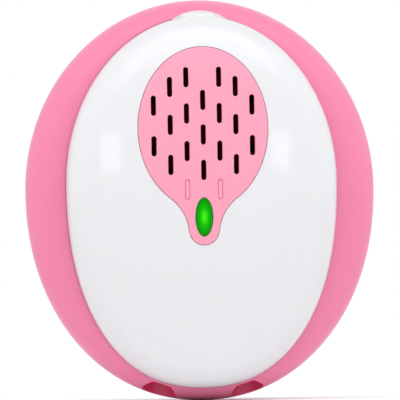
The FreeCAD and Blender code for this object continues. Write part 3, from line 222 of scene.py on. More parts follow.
# ---- Stage: places and sizes in metres ----
OVERHEAD_BOX = ((0.0, -0.52, 0.74), (1.4, 1.0))
SIDE_BOX = ((0.72, -0.10, 0.30), (1.2, 1.0))
FRONT_BOX = ((0.39, -0.71, 0.10), (0.09, 0.11))
CAMERA_AIM = (0.09, 0.05)      # the point of the lying case that the camera looks at, in mm
SENSOR_WIDTH = 36.0            # in mm
FLOOR_REACH = 6.0
FLOOR_FADE = (0.01, 0.07)      # the floor's paper turns plain white between these distances

MM = 0.001
WAVE_PERIOD = math.tau / 20    # a wave texture of scale 1 repeats after this length
WELD = 2e-7                    # points of a cut mesh nearer than this are one point, in m
SPECK_FACES = 4                # a scrap with fewer faces than this is left over from a cut
OVER = 1.0                     # how far a cutting shape reaches past what it cuts
SQUARE = 0.01                  # radius of a corner that is meant to be sharp
SPARE = 0.05                   # how much a corner's radius is over the lip that shrinks it
FINE = 160                     # faces round a wide circle
LIP_STEPS = 5                  # faces across a rounded lip
DRIFT_SCALE = 18.0             # a noise of this scale drifts over centimetres
GLOSS_SCALE = 160.0            # and one of this scale over millimetres
SHARP = math.radians(32)       # edges that turn more than this stay sharp


# ------------------------------------------------------------------------------------ properties
def number(name, description, default, low, high, **settings):
    """Property for a number between two limits."""
    return FloatProperty(name=name, description=description, default=default, min=low, max=high,
                         **settings)


def colour(name, description, default):
    """Property for a colour."""
    return FloatVectorProperty(name=name, description=description, subtype="COLOR", size=3,
                               default=default)


class DopplerShape(bpy.types.PropertyGroup):
    columns: IntProperty(name="Columns", description="Faces round each shell", default=384,
                         min=96, max=768)
    cover_lip: number("Cover lip", "Rounding of the teardrop's rim, in mm", 0.16, 0.05, 0.6)
    band_lip: number("Band lip", "Rounding of the band's inner edge, in mm", 0.16, 0.05, 0.6)
    slot_lip: number("Slot lip", "Rounding of the slots' mouths, in mm", 0.12, 0.05, 0.5)
    edge_lip: number("Edge lip", "Rounding of small moulded edges, in mm", 0.25, 0.05, 0.5)
    wheel_teeth: IntProperty(name="Wheel teeth", description="Serrations round the thumbwheel",
                             default=96, min=24, max=160)
    tooth_depth: number("Tooth depth", "Depth of a serration, in mm", 0.3, 0.1, 0.8)


class DopplerFinish(bpy.types.PropertyGroup):
    pink: colour("Pink shell", "Colour of the band and the back", (0.85, 0.215, 0.375))
    grille_pink: colour("Pink grille", "Colour of the grille", (0.92, 0.335, 0.455))
    # painted shade: the darker, deeper pink given to the inside of the recesses in place of their
    # shading
    recess_shade_pink: colour("Socket recess shade", "Colour inside the recesses", (0.82, 0.055, 0.19))
    white: colour("White cover", "Colour of the domed cover", (0.755, 0.755, 0.77))
    wheel: colour("Wheel", "Colour of the thumbwheel", (0.93, 0.90, 0.89))
    glow: colour("Lens glow", "Colour in the middle of the lit lens", (0.07, 0.94, 0.003))
    glow_rim: colour("Lens rim", "Colour at the edge of the lens", (0.0, 0.16, 0.0))


class DopplerStage(bpy.types.PropertyGroup):
    camera_distance: number("Camera distance", "From the case's rim", 4.0, 0.2, 4.2,
                            unit="LENGTH")
    camera_turn: FloatProperty(name="Camera turn", description="Camera's swing round the object",
                               subtype="ANGLE", default=math.radians(-2.6))
    camera_roll: FloatProperty(name="Camera roll", description="Camera's turn about its own axis",
                               subtype="ANGLE", default=math.radians(-0.75))
    view_width: FloatProperty(name="View width", description="Width that the view takes in",
                              unit="LENGTH", default=0.09306)
    around: number("Light all round", "Radiance of the surroundings", 0.58, 0.0, 3.0)
    overhead: number("Overhead softbox", "Radiance of the softbox above", 1.18, 0.0, 20.0)
    sides: number("Side softboxes", "Radiance of the pair at the sides", 0.4, 0.0, 20.0)
    sparkle: number("Front softboxes", "Radiance of the small pair in front, which shows in "
                    "the gloss", 2.6, 0.0, 20.0)


# ---------------------------------------------------------------------------------- shape helpers
def stand(points):
    """Points of the lying case, in mm, as points of the standing frame, in metres."""
    p = np.asarray(points, float).reshape(-1, 3)
    return np.stack([p[:, 0], -(p[:, 2] + PROBE_PROUD), p[:, 1] - PROBE_Y], axis=1) * MM


def egg(outline, angles, grow=0.0):
    """Points of an egg outline at these angles, the outline grown outwards by grow."""
    half_width, above, below, widest_y, power = outline
    c, s = np.cos(angles), np.sin(angles)
    reach, bend = np.where(s >= 0, above, below), np.where(s >= 0, 2.0, power)
    stretch = (np.abs(c) ** bend + np.abs(s) ** bend) ** (-1 / bend)
    return np.stack([(half_width + grow) * stretch * c, widest_y + (reach + grow) * stretch * s],
                    axis=1)


def dome_z(x, y, sunk=0.0):
    """Height of the domed face over a point, or of the same dome lowered by sunk."""
    radius_x, radius_y = DOME_RADIUS_X - sunk, DOME_RADIUS_Y - sunk
    arm = radius_y - radius_x + np.sqrt(radius_x ** 2 - x ** 2)
    return DOME_TOP - sunk - radius_y + np.sqrt(arm ** 2 - (y - DOME_APEX_Y) ** 2)


def lower_edge(outline, x):
    """Where an egg outline's lower half crosses this x."""
    half_width, _, below, widest_y, power = outline
    return widest_y - below * (1 - (abs(x) / half_width) ** power) ** (1 / power)


def drop_outline(grow):
    """The teardrop, clockwise from its top: an oval, blends and a round tail."""
    a, b = DROP_HALF_WIDTH + grow, DROP_HALF_HEIGHT + grow
    sweep = np.linspace(math.pi / 2, -math.pi / 2, 721)
    oval = np.stack([a * np.cos(sweep), DROP_CENTRE_Y + b * np.sin(sweep)], axis=1)
    tail = np.array([0.0, TAIL_CENTRE_Y])
    low, high = -math.pi / 3, math.pi / 3
    for _ in range(40):
        angle = (low + high) / 2
        centre = tail + (TAIL_RADIUS + TAIL_FILLET) * np.array([math.cos(angle), math.sin(angle)])
        away = np.hypot(*(oval - centre).T)
        low, high = (angle, high) if away.min() > TAIL_FILLET - grow else (low, angle)
    touch = away.argmin()
    start = math.atan2(*(oval[touch] - centre)[::-1])
    turn = np.linspace(start, math.pi + angle, 60)
    blend = centre + (TAIL_FILLET - grow) * np.stack([np.cos(turn), np.sin(turn)], axis=1)
    tip = np.linspace(angle, -math.pi / 2, 60)
    end = tail + (TAIL_RADIUS + grow) * np.stack([np.cos(tip), np.sin(tip)], axis=1)
    right = np.concatenate([oval[:touch], blend, end[1:]])
    return np.concatenate([right, right[-2:0:-1] * (-1, 1)])


def fan(outline, directions):
    """Distances from the fan's centre to an outline along these directions."""
    away = outline - FAN_CENTRE
    return np.interp(directions, np.arctan2(away[:, 1], away[:, 0]), np.hypot(*away.T),
                     period=2 * math.pi)


def fan_row(distance, directions, height):
    """Ring of points on the fan's rays, at one height or a height for each."""
    x = FAN_CENTRE[0] + distance * np.cos(directions)
    y = FAN_CENTRE[1] + distance * np.sin(directions)
    return np.stack([x, y, np.broadcast_to(height, x.shape)], axis=1)


def dome_row(distance, directions, sunk, drop=0.0):
    """Ring of points on the fan's rays, on the dome lowered by sunk, and lowered by drop."""
    row = fan_row(distance, directions, 0.0)
    row[:, 2] = dome_z(row[:, 0], row[:, 1], sunk) - drop
    return row


def drop_lip(directions, start, lip, sunk):
    """Rings that round the teardrop's rim from its outline grown by start, by lip in all."""
    depth = abs(lip)
    return [dome_row(fan(drop_outline(start + lip * math.sin(angle)), directions), directions,
                     sunk, depth - depth * math.cos(angle)) for angle in quarter(LIP_STEPS)]


def flat_row(points, z):
    """Ring of points at one height."""
    return np.column_stack([points, np.broadcast_to(z, len(points))])


def rounded_rectangle(x0, x1, y0, y1, radii, grow=0.0, steps=8):
    """Outline with its own radius at each corner, anticlockwise from the lower right."""
    points = []
    corners = ((x1, y0, -90), (x1, y1, 0), (x0, y1, 90), (x0, y0, 180))
    for (x, y, first), radius in zip(corners, radii):
        cx = x - radius if x == x1 else x + radius
        cy = y - radius if y == y1 else y + radius
        for angle in np.radians(np.linspace(first, first + 90, steps + 1)):
            points.append((cx + (radius + grow) * math.cos(angle),
                           cy + (radius + grow) * math.sin(angle)))
    return np.array(points)


def circle(radius, x=0.0, y=0.0, count=96):
    """Points round a circle."""
    angles = np.linspace(0, 2 * math.pi, count, endpoint=False)
    return np.stack([x + radius * np.cos(angles), y + radius * np.sin(angles)], axis=1)


def oval(half_x, half_y, y, count=128):
    """Points round an oval on the middle line."""
    return circle(1.0, count=count) * (half_x, half_y) + (0.0, y)


def stadium(width, length, grow=0.0, steps=14):
    """Outline of a slot with round ends, along y."""
    radius, straight = width / 2 + grow, (length - width) / 2
    upper = np.radians(np.linspace(0, 180, steps))
    top = np.stack([radius * np.cos(upper), straight + radius * np.sin(upper)], axis=1)
    return np.concatenate([top, -top])


def new_piece(name, points, faces=()):
    """Object with a mesh of these points, in metres of the standing frame, and faces."""
    mesh = bpy.data.meshes.new(name)
    mesh.from_pydata([tuple(p) for p in points], [], faces)
    piece = bpy.data.objects.new(name, mesh)
    bpy.context.scene.collection.objects.link(piece)
    return piece


def tube_faces(count, rings, ends=True):
    """Faces between rings of points; ends closes the tube, else the last ring meets the first."""
    last = rings - 1 if ends else rings
    faces = []
    for i in range(last):
        a, b = i * count, (i + 1) % rings * count
        faces += [(a + j, a + (j + 1) % count, b + (j + 1) % count, b + j) for j in range(count)]
    if ends:
        faces += [tuple(reversed(range(count))), tuple(range(last * count, rings * count))]
    return faces


def loft(name, rows, ends=True):
    """Piece through rings of points; ends closes the first and last ring, else they are joined."""
    piece = new_piece(name, stand(np.concatenate(rows)), tube_faces(len(rows[0]), len(rows), ends))
    bm = bmesh.new()
    bm.from_mesh(piece.data)
    bmesh.ops.recalc_face_normals(bm, faces=bm.faces)
    bm.to_mesh(piece.data)
    bm.free()
    return piece


def stack(name, outline, levels):
    """Solid from one outline function, grown by a set amount at each height."""
    return loft(name, [flat_row(outline(grow), z) for grow, z in levels])


def quarter(steps):
    """Angles that lead from 0, left out, to a quarter turn."""
    return [math.pi / 2 * i / steps for i in range(1, steps + 1)]


def pit(depth, lip, mouth=0.0):
    """Levels of a cutting shape: straight above the mouth, a rounded lip, straight down."""
    rounded = [(lip - lip * math.sin(angle), mouth + lip - lip * math.cos(angle))
               for angle in quarter(LIP_STEPS)]
    return [(lip, mouth - OVER), (lip, mouth), *rounded, (0.0, depth)]


def softened(soft):
    """Steps back from a corner, along and across, that take its sharpness off."""
    return [(soft, 0.0), (soft / 3, soft / 3), (0.0, soft)]


def rounding(reach, foot, radius, count):
    """Quarter circle from the flat at the height foot to the wall at this reach."""
    return [(reach - radius + radius * math.sin(a), foot + radius - radius * math.cos(a))
            for a in np.linspace(0, math.pi / 2, count)]


def block(name, x0, x1, y0, y1, z0, z1):
    """Square block between these limits."""
    return stack(name, lambda grow: rounded_rectangle(x0, x1, y0, y1, (SQUARE,) * 4, grow, 1),
                 [(0.0, z0), (0.0, z1)])


def lathe(name, profile, x=0.0, y=0.0, count=96, carry=None):
    """Solid of revolution about an upright axis from a closed profile of radius and height."""
    rows = [flat_row(circle(max(r, 0.0), x, y, count), z) for r, z in profile]
    if carry:
        rows = [carry(row) for row in rows]
    return loft(name, rows)


def hinge_rod(name, radius, reach, count):
    """Round bar on the door's hinge line."""
    ring = circle(radius, HINGE_Y, DOOR_THICK / 2, count)
    return loft(name, [np.column_stack([np.full(count, x), ring]) for x in (-reach, reach)])


def socket_frame(side):
    """Carries points made about an upright axis to a socket's axis, depth measured inwards."""
    foot = Vector((side * JACK_X, lower_edge(CASE_EGG, JACK_X), JACK_Z))
    turn = Matrix.Rotation(math.radians(side * JACK_TILT), 3, "Z")
    across, inward = turn @ Vector((1, 0, 0)), turn @ Vector((0, 1, 0))

    def carry(row):
        return np.array([foot + across * p[0] + inward * p[2] + Vector((0, 0, p[1])) for p in row])

    return carry


def combine(piece, others, operation):
    """Joins others to a piece, or cuts them out of it, and deletes them."""
    for other in others:
        modifier = piece.modifiers.new("shape", "BOOLEAN")
        modifier.operation = operation
        modifier.solver = "EXACT"
        modifier.object = other
    bake(piece)
    drop_specks(piece)
    for other in others:
        bpy.data.objects.remove(other)


def drop_specks(piece):
    """Deletes the specks that a cut can leave: a few folded faces that close on themselves."""
    bm = bmesh.new()
    bm.from_mesh(piece.data)
    bmesh.ops.remove_doubles(bm, verts=bm.verts, dist=WELD)
    bmesh.ops.dissolve_degenerate(bm, edges=bm.edges, dist=WELD)
    bm.faces.index_update()
    seen, specks = set(), []
    for face in bm.faces:
        if face.index in seen:
            continue
        island = [face]
        seen.add(face.index)
        for member in island:
            for edge in member.edges:
                if len(edge.link_faces) == 2:
                    for other in edge.link_faces:
                        if other.index not in seen:
                            seen.add(other.index)
                            island.append(other)
        if len(island) < SPECK_FACES:
            specks += island
    bmesh.ops.delete(bm, geom=specks, context="FACES")
    bm.to_mesh(piece.data)
    bm.free()


def bake(piece):
    """Turns a piece with modifiers into a plain mesh."""
    evaluated = piece.evaluated_get(bpy.context.evaluated_depsgraph_get())
    mesh = bpy.data.meshes.new_from_object(evaluated)
    piece.modifiers.clear()
    piece.data = mesh


def finish_piece(piece, body, nodes, material, sharp=SHARP):
    """Shades a piece, gives it its material and hands it to the frame."""
    piece.data.materials.clear()
    piece.data.materials.append(material)
    piece.data.polygons.foreach_set("material_index", [0] * len(piece.data.polygons))
    piece.data.shade_smooth()
    piece.data.set_sharp_from_angle(angle=sharp)
    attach(piece, body)
    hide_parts(*nodes)


# -------------------------------------------------------------------------------- geometry nodes
def new_tree(name, inputs):
    """Empty geometry tree with named inputs: name, socket kind and default."""
    tree = bpy.data.node_groups.new(name, "GeometryNodeTree")
    tree.interface.new_socket("Geometry", in_out="INPUT", socket_type="NodeSocketGeometry")
    for label, kind, default in inputs:
        socket = tree.interface.new_socket(label, in_out="INPUT", socket_type=kind)
        if default is not None:
            socket.default_value = default
    tree.interface.new_socket("Geometry", in_out="OUTPUT", socket_type="NodeSocketGeometry")
    return tree


def add(tree, kind, values=None, **settings):
    """New node with its settings; values maps an input's name or number to a value or a socket."""
    node = tree.nodes.new(kind)
    for key, value in settings.items():
        setattr(node, key, value)
    for key, value in (values or {}).items():
        if isinstance(value, bpy.types.NodeSocket):
            tree.links.new(value, node.inputs[key])
        else:
            node.inputs[key].default_value = value
    return node


def maths(tree, operation, *values):
    """Result of a math node on these values or sockets."""
    return add(tree, "ShaderNodeMath", dict(enumerate(values)), operation=operation).outputs[0]


def vector_maths(tree, operation, *values):
    """Result of a vector math node, a number where the operation gives one."""
    node = add(tree, "ShaderNodeVectorMath", dict(enumerate(values)), operation=operation)
    number = operation in ("LENGTH", "DISTANCE", "DOT_PRODUCT")
    return node.outputs["Value" if number else "Vector"]


def empty_nodes(owner):
    """Switches a material or a world to nodes and gives its tree, with nothing in it."""
    owner.use_nodes = True
    owner.node_tree.nodes.clear()
    return owner.node_tree


def run_tree(piece, tree, values):
    """Runs a geometry tree on a piece with these input values and keeps the result as a mesh."""
    modifier = piece.modifiers.new(tree.name, "NODES")
    modifier.node_group = tree
    identifiers = {item.name: item.identifier for item in tree.interface.items_tree
                   if item.item_type == "SOCKET" and item.in_out == "INPUT"}
    for label, value in values.items():
        modifier[identifiers[label]] = value
    bake(piece)


def instances(tree, inside, label, points, **placing):
    """Real copies, on these points, of the object that the tree gets under this label."""
    source = add(tree, "GeometryNodeObjectInfo", {"Object": inside.outputs[label]})
    placed = add(tree, "GeometryNodeInstanceOnPoints", {
        "Points": points, "Instance": source.outputs["Geometry"], **placing})
    return add(tree, "GeometryNodeRealizeInstances", {
        "Geometry": placed.outputs["Instances"]}).outputs["Geometry"]


def end_tree(tree, inside, geometry):
    """Sets the material that the tree gets and hands the geometry out."""
    painted = add(tree, "GeometryNodeSetMaterial", {
        "Geometry": geometry, "Material": inside.outputs["Material"]})
    add(tree, "NodeGroupOutput", {"Geometry": painted.outputs["Geometry"]})


def copies_tree(name):
    """Tree that puts a copy of an object on each point of a mesh."""
    tree = new_tree(name, [("Copied", "NodeSocketObject", None), ("Size", "NodeSocketFloat", 1.0),
                           ("Material", "NodeSocketMaterial", None)])
    inside = add(tree, "NodeGroupInput")
    end_tree(tree, inside, instances(tree, inside, "Copied", inside.outputs["Geometry"],
                                     Scale=inside.outputs["Size"]))
    return tree


def copies(name, places, source, material):
    """One mesh with a copy of source at each place."""
    source.data.transform(Matrix.Translation(-Vector(stand([(0, 0, 0)])[0])))
    piece = new_piece(name, stand(places))
    run_tree(piece, copies_tree(name + " copies"), {"Copied": source, "Material": material})
    bpy.data.objects.remove(source)
    return piece


def drape(piece, sunk):
    """Moves a piece made over the height 0 so that it follows the dome lowered by sunk."""
    for vertex in piece.data.vertices:
        x, _, z = vertex.co / MM
        vertex.co.y -= dome_z(x, z + PROBE_Y, sunk) * MM
    return piece


# -------------------------------------------------------------------------------------- materials
def new_material(name, **sockets):
    """Material with a Principled shader whose inputs are set by name; returns it and its parts."""
    material = bpy.data.materials.new(name)
    material.use_nodes = True
    tree = material.node_tree
    shader = tree.nodes["Principled BSDF"]
    for key, value in sockets.items():
        shader.inputs[key.replace("_", " ")].default_value = value
    place = tree.nodes.new("ShaderNodeTexCoord").outputs["Object"]
    return material, tree, shader, place


def noise(tree, place, scale, detail=3.0, roughness=0.5):
    """Value from 0 to 1 that drifts over the surface."""
    return add(tree, "ShaderNodeTexNoise", {"Vector": place, "Scale": scale, "Detail": detail,
                                            "Roughness": roughness}).outputs["Fac"]


def spread(tree, value, low, high):
    """Maps a 0 to 1 value to a range."""
    return add(tree, "ShaderNodeMapRange", {"Value": value, "To Min": low, "To Max": high}
               ).outputs["Result"]


def tint(tree, value, first, second):
    """Colour between two others; the first may be the output of a node."""
    first = first if isinstance(first, bpy.types.NodeSocket) else (*first, 1)
    mix = add(tree, "ShaderNodeMix", {"Factor": value, "A": first, "B": (*second, 1)},
              data_type="RGBA")
    return mix.outputs["Result"]


def shade(colour, factor):
    """Colour made lighter or darker."""
    return tuple(min(1.0, c * factor) for c in colour)


def relief(tree, shader, height, distance, strength=1.0):
    """Bump from a height, with the height's real size in metres."""
    bump = add(tree, "ShaderNodeBump", {"Height": height, "Distance": distance,
                                        "Strength": strength})
    tree.links.new(bump.outputs["Normal"], shader.inputs["Normal"])


def vary(tree, shader, value, colour, low, high):
    """Makes the base colour darker and lighter, by these factors, with a 0 to 1 value."""
    tree.links.new(tint(tree, value, shade(colour, low), shade(colour, high)),
                   shader.inputs["Base Color"])


def vary_gloss(tree, shader, value, low, high):
    """Moves the roughness between two amounts with a 0 to 1 value."""
    tree.links.new(spread(tree, value, low, high), shader.inputs["Roughness"])


def ramp(tree, value, stops, interpolation):
    """Colour that changes with a value through stops of place, from 0 to 1, and colour."""
    node = add(tree, "ShaderNodeValToRGB", {"Fac": value})
    node.color_ramp.interpolation = interpolation
    elements = node.color_ramp.elements
    while len(elements) < len(stops):
        elements.new(1.0)
    for element, (at, colour) in zip(elements, stops):
        element.position = at
        element.color = (*colour, 1)
    return node.outputs["Color"]


def moulded(name, colour, roughness, grain=0.00001, grain_scale=1400, depth=0.04, coat=0.0,
            drift=0.03, coat_roughness=0.2):
    """Moulded plastic: a slight drift of tone, uneven gloss and the faint ripple of the mould."""
    material, tree, shader, place = new_material(
        name, IOR=1.49, Coat_Weight=coat, Coat_Roughness=coat_roughness, Subsurface_Weight=depth,
        Subsurface_Scale=0.0015)
    vary(tree, shader, noise(tree, place, DRIFT_SCALE, 2.0), colour, 1 - drift, 1 + drift)
    vary_gloss(tree, shader, noise(tree, place, GLOSS_SCALE, 4.0), roughness * 0.8,
               roughness * 1.25)
    relief(tree, shader, noise(tree, place, grain_scale, 2.0), grain)
    return material


def metal(name, colour, roughness, brushed=(1.0, 1.0, 1.0), scale=900.0):
    """Metal with fine marks, drawn out along one axis where brushed says so."""
    material, tree, shader, place = new_material(name, Metallic=1.0)
    drawn = add(tree, "ShaderNodeMapping", {"Vector": place, "Scale": brushed}).outputs["Vector"]
    marks = noise(tree, drawn, scale, 4.0, 0.6)
    vary(tree, shader, marks, colour, 0.88, 1.06)
    vary_gloss(tree, shader, marks, roughness * 0.7, roughness * 1.4)
    relief(tree, shader, marks, 0.000004)
    return material


def glowing_lens(name, glow, rim):
    """Clear green plastic lit from behind: bright in the middle, deep green at the edge."""
    material, tree, shader, place = new_material(
        name, Roughness=0.3, IOR=1.36, Specular_IOR_Level=0.12, Emission_Strength=0.85)
    middle = stand([(0, LENS_CENTRE_Y, dome_z(0.0, LENS_CENTRE_Y))])[0]
    local = vector_maths(tree, "SUBTRACT", place, tuple(middle))
    scaled = vector_maths(tree, "MULTIPLY", local,
                          (2 / (LENS_WIDTH * MM), 0.0, 2 / (LENS_HEIGHT * MM)))
    reach = vector_maths(tree, "LENGTH", scaled)
    stops = ((0.0, glow), (0.2, glow), *LENS_GREENS, (1.0, rim))
    tree.links.new(ramp(tree, reach, stops, "B_SPLINE"), shader.inputs["Emission Color"])
    cells = noise(tree, place, 2600.0, 2.0)
    tree.links.new(tint(tree, cells, (0.0, 0.05, 0.0), (0.0, 0.07, 0.0)),
                   shader.inputs["Base Color"])
    relief(tree, shader, cells, 0.000004)
    return material


def woven(name, colour, pitch, roughness=0.9, height=0.00005):
    """Plain weave: two crossed sets of matt threads."""
    material, tree, shader, place = new_material(name, Roughness=roughness,
                                                 Specular_IOR_Level=0.0)
    across = [add(tree, "ShaderNodeTexWave", {
        "Vector": place, "Scale": WAVE_PERIOD / pitch, "Distortion": 0.4, "Detail": 1.0},
        bands_direction=axis).outputs["Fac"] for axis in ("X", "Z")]
    threads = maths(tree, "MULTIPLY", *across)
    vary(tree, shader, threads, colour, 0.6, 1.4)
    relief(tree, shader, threads, height)
    return material


def stuff(name, colour, roughness, scale=500.0, height=0.00002, drift=0.12, **sockets):
    """Plain stuff such as rubber, foam, epoxy, card or ceramic, with its own grain."""
    material, tree, shader, place = new_material(name, **sockets)
    grain = noise(tree, place, scale, 5.0, 0.6)
    vary(tree, shader, grain, colour, 1 - drift, 1 + drift)
    vary_gloss(tree, shader, grain, roughness * 0.85, min(1.0, roughness * 1.15))
    relief(tree, shader, grain, height)
    return material


def banded(name, bands, roughness, axis="X"):
    """Printed wrap whose colour changes along one axis: a list of place in metres and colour."""
    material, tree, shader, place = new_material(name, Metallic=0.4, Coat_Weight=0.5)
    parts = add(tree, "ShaderNodeSeparateXYZ", {"Vector": place})
    low, high = bands[0][0], bands[-1][0]
    share = add(tree, "ShaderNodeMapRange", {
        "Value": parts.outputs[axis], "From Min": low, "From Max": high}).outputs["Result"]
    stops = [((at - low) / (high - low), colour) for at, colour in bands]
    tree.links.new(ramp(tree, share, stops, "CONSTANT"), shader.inputs["Base Color"])
    scuffs = noise(tree, place, 300.0, 4.0)
    vary_gloss(tree, shader, scuffs, roughness * 0.7, roughness * 1.4)
    return material


def paint(names, material):
    """Gives CAD pieces a material in place of their plain one."""
    for name in names:
        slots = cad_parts[name].data.materials
        slots.clear()
        slots.append(material)


# ------------------------------------------------------------------------------------ front cover
def cover_rows(directions, sunk, lip):
    """Rings of the cover's outer face, or its inner one when sunk, from seat to teardrop."""
    angles = np.linspace(0, 2 * math.pi, 1440, endpoint=False)
    radius = COVER_EDGE_RADIUS - sunk

    def edge(inset):
        return fan(egg(COVER_EGG, angles, -sunk - inset), directions)

    centre = dome_row(edge(radius), directions, sunk + radius)
    inner = dome_row(edge(radius + 1.0), directions, sunk)
    outer = dome_row(edge(radius), directions, sunk)
    slope = np.arctan2(inner[:, 2] - outer[:, 2], np.hypot(*(inner - outer)[:, :2].T))
    rows = [fan_row(edge(0.0), directions, SEAT_Z + (centre[:, 2] - SEAT_Z) * share)
            for share in (0.0, 0.1, 0.25, 0.45, 0.65, 0.85)]
    arc_steps = 14
    for i in range(arc_steps + 1):
        angle = (math.pi / 2 - slope) * i / arc_steps
        inset = radius * (1 - np.cos(angle))
        reach = edge(0.0) + (edge(radius) - edge(0.0)) * inset / radius
        rows.append(fan_row(reach, directions, centre[:, 2] + radius * np.sin(angle)))
    rim = fan(drop_outline(lip), directions)
    start = np.hypot(rows[-1][:, 0] - FAN_CENTRE[0], rows[-1][:, 1] - FAN_CENTRE[1])
    face_steps = 34 if sunk == 0 else 12
    for i in range(1, face_steps + 1):
        rows.append(dome_row(start + (rim - start) * i / face_steps, directions, sunk))
    return rows


class DOPPLER_OT_front_cover(bpy.types.Operator):
    """White domed cover with its teardrop opening and the slot for the thumbwheel"""
    bl_idname = "doppler.front_cover"
    bl_label = "Front cover"

    def execute(self, context):
        shape, finish = context.scene.doppler_shape, context.scene.doppler_finish
        lip = shape.cover_lip
        directions = np.linspace(-math.pi, math.pi, shape.columns, endpoint=False)
        rows = cover_rows(directions, 0.0, lip) + drop_lip(directions, lip, -lip, 0.0)
        inner = cover_rows(directions, COVER_WALL, 0.0)
        cover = loft("front_cover_shell", rows + inner[::-1], ends=False)
        low, high = WHEEL_Z - FIT_GAP, WHEEL_Z + WHEEL_THICK + FIT_GAP
        reach = WHEEL_RADIUS + 2 * FIT_GAP
        slot = stack("wheel_slot", lambda grow: circle(reach + grow, 0, WHEEL_CENTRE_Y, FINE),
                     [(0, low), (0, high)])
        combine(cover, [slot], "DIFFERENCE")
        white = moulded("white_gloss_plastic", finish.white, 0.4, grain=0.000004,
                        grain_scale=420.0, depth=0.10, coat=0.9, drift=0.006, coat_roughness=0.09)
        finish_piece(cover, "case", ["front_cover"], white)
        return {"FINISHED"}


# ------------------------------------------------------------------------------------- rear shell
def shell_rows(angles, lip):
    """Rings of the pink shell's section: inner floor, inner wall, ledge, seat, lip, band, back."""
    rows = []
    for angle in np.linspace(0, math.pi / 2, 14):
        grow = -BACK_INSET + (BACK_INSET - BAND_WALL) * math.sin(angle)
        rows.append(flat_row(egg(CASE_EGG, angles, grow),
                             RIM_Z - (RIM_Z - BACK_WALL) * math.cos(angle)))
    ledge_z = SEAT_Z - LEDGE_THICK
    stop = math.asin((ledge_z - RIM_Z) / (BAND_RISE - BAND_WALL))
    start, end = egg(COVER_EGG, angles, -CREST_INSET), egg(CASE_EGG, angles, -BAND_WALL)
    for angle in np.linspace(0, stop, 8)[1:]:
        rows.append(flat_row(start + (end - start) * math.cos(angle),
                             RIM_Z + (BAND_RISE - BAND_WALL) * math.sin(angle)))
    ledge = egg(COVER_EGG, angles, -LEDGE_WIDTH)
    seat = egg(COVER_EGG, angles, SEAT_GAP)
    rows += [flat_row(ledge, ledge_z), flat_row(ledge, SEAT_Z), flat_row(seat, SEAT_Z)]
    end = egg(CASE_EGG, angles)
    width = np.hypot(*(end - start).T)

    def band(inset):
        """Points of the band's outer face this far out from its crest."""
        share = np.minimum(inset / width, 1.0)
        return np.column_stack([start + (end - start) * share[:, None],
                                RIM_Z + BAND_RISE * np.sqrt(1 - share ** 2)])

    brink = band(CREST_INSET + SEAT_GAP + lip)
    for angle in (0.0, *quarter(LIP_STEPS)):
        row = band(CREST_INSET + SEAT_GAP + lip - lip * math.cos(angle))
        row[:, 2] = brink[:, 2] - lip + lip * math.sin(angle)
        rows.append(row)
    first = np.arccos((CREST_INSET + SEAT_GAP + lip) / width)
    band_steps = 26
    for i in range(1, band_steps + 1):
        rows.append(band(width * np.cos(first * (1 - i / band_steps))))
    for angle in np.linspace(math.pi / 2, 0, 27)[1:]:
        rows.append(flat_row(egg(CASE_EGG, angles, -BACK_INSET * (1 - math.sin(angle))),
                             RIM_Z * (1 - math.cos(angle))))
    return rows


def shell_additions():
    """What stands in the shell or on its back: door frame, battery cell, ring, posts, bosses."""
    margin = FIT_GAP + FRAME_MARGIN
    frame_z = DOOR_THICK + FIT_GAP
    half = DOOR_HALF_WIDTH + margin
    pieces = [block("door_frame", -half, half, HINGE_Y - DOOR_THICK / 2 - margin,
                    DOOR_TOP_Y + margin, frame_z, frame_z + FRAME_THICK),
              block("battery_cell", -CELL_HALF_LENGTH - CELL_WALL, CELL_HALF_LENGTH + CELL_WALL,
                    CELL_Y[0] - CELL_WALL, CELL_Y[1] + CELL_WALL, frame_z,
                    CELL_CEILING + CELL_WALL)]
    outer = PROBE_RADIUS + PROBE_GAP + PROBE_RING_WIDTH
    profile = rounding(outer, -PROBE_RING_PROUD, PROBE_RING_WIDTH / 3, 6)
    pieces.append(lathe("probe_ring", profile + [(outer, PROBE_SEAT_Z)], 0, PROBE_Y, FINE))
    for x, y in CASE_SCREWS:
        pieces.append(lathe("post", [(REAR_POST_RADIUS, BACK_WALL / 2),
                                     (REAR_POST_RADIUS, SEAT_Z - POST_GAP)], x, y, 64))
    boss = RECESS_RADIUS + RECESS_RING
    for side in (-1, 1):
        carry = socket_frame(side)
        outline = circle(boss, count=64)
        outline[:, 1] = np.minimum(outline[:, 1], SEAT_Z - FIT_GAP - JACK_Z)
        rows = [carry(flat_row(outline, u)) for u in (0.0, RECESS_DEPTH + RECESS_WALL)]
        rows[0][:, 1] = [lower_edge(CASE_EGG, x) + RECESS_SKIN for x in rows[0][:, 0]]
        pieces.append(loft("socket_boss", rows))
    return pieces


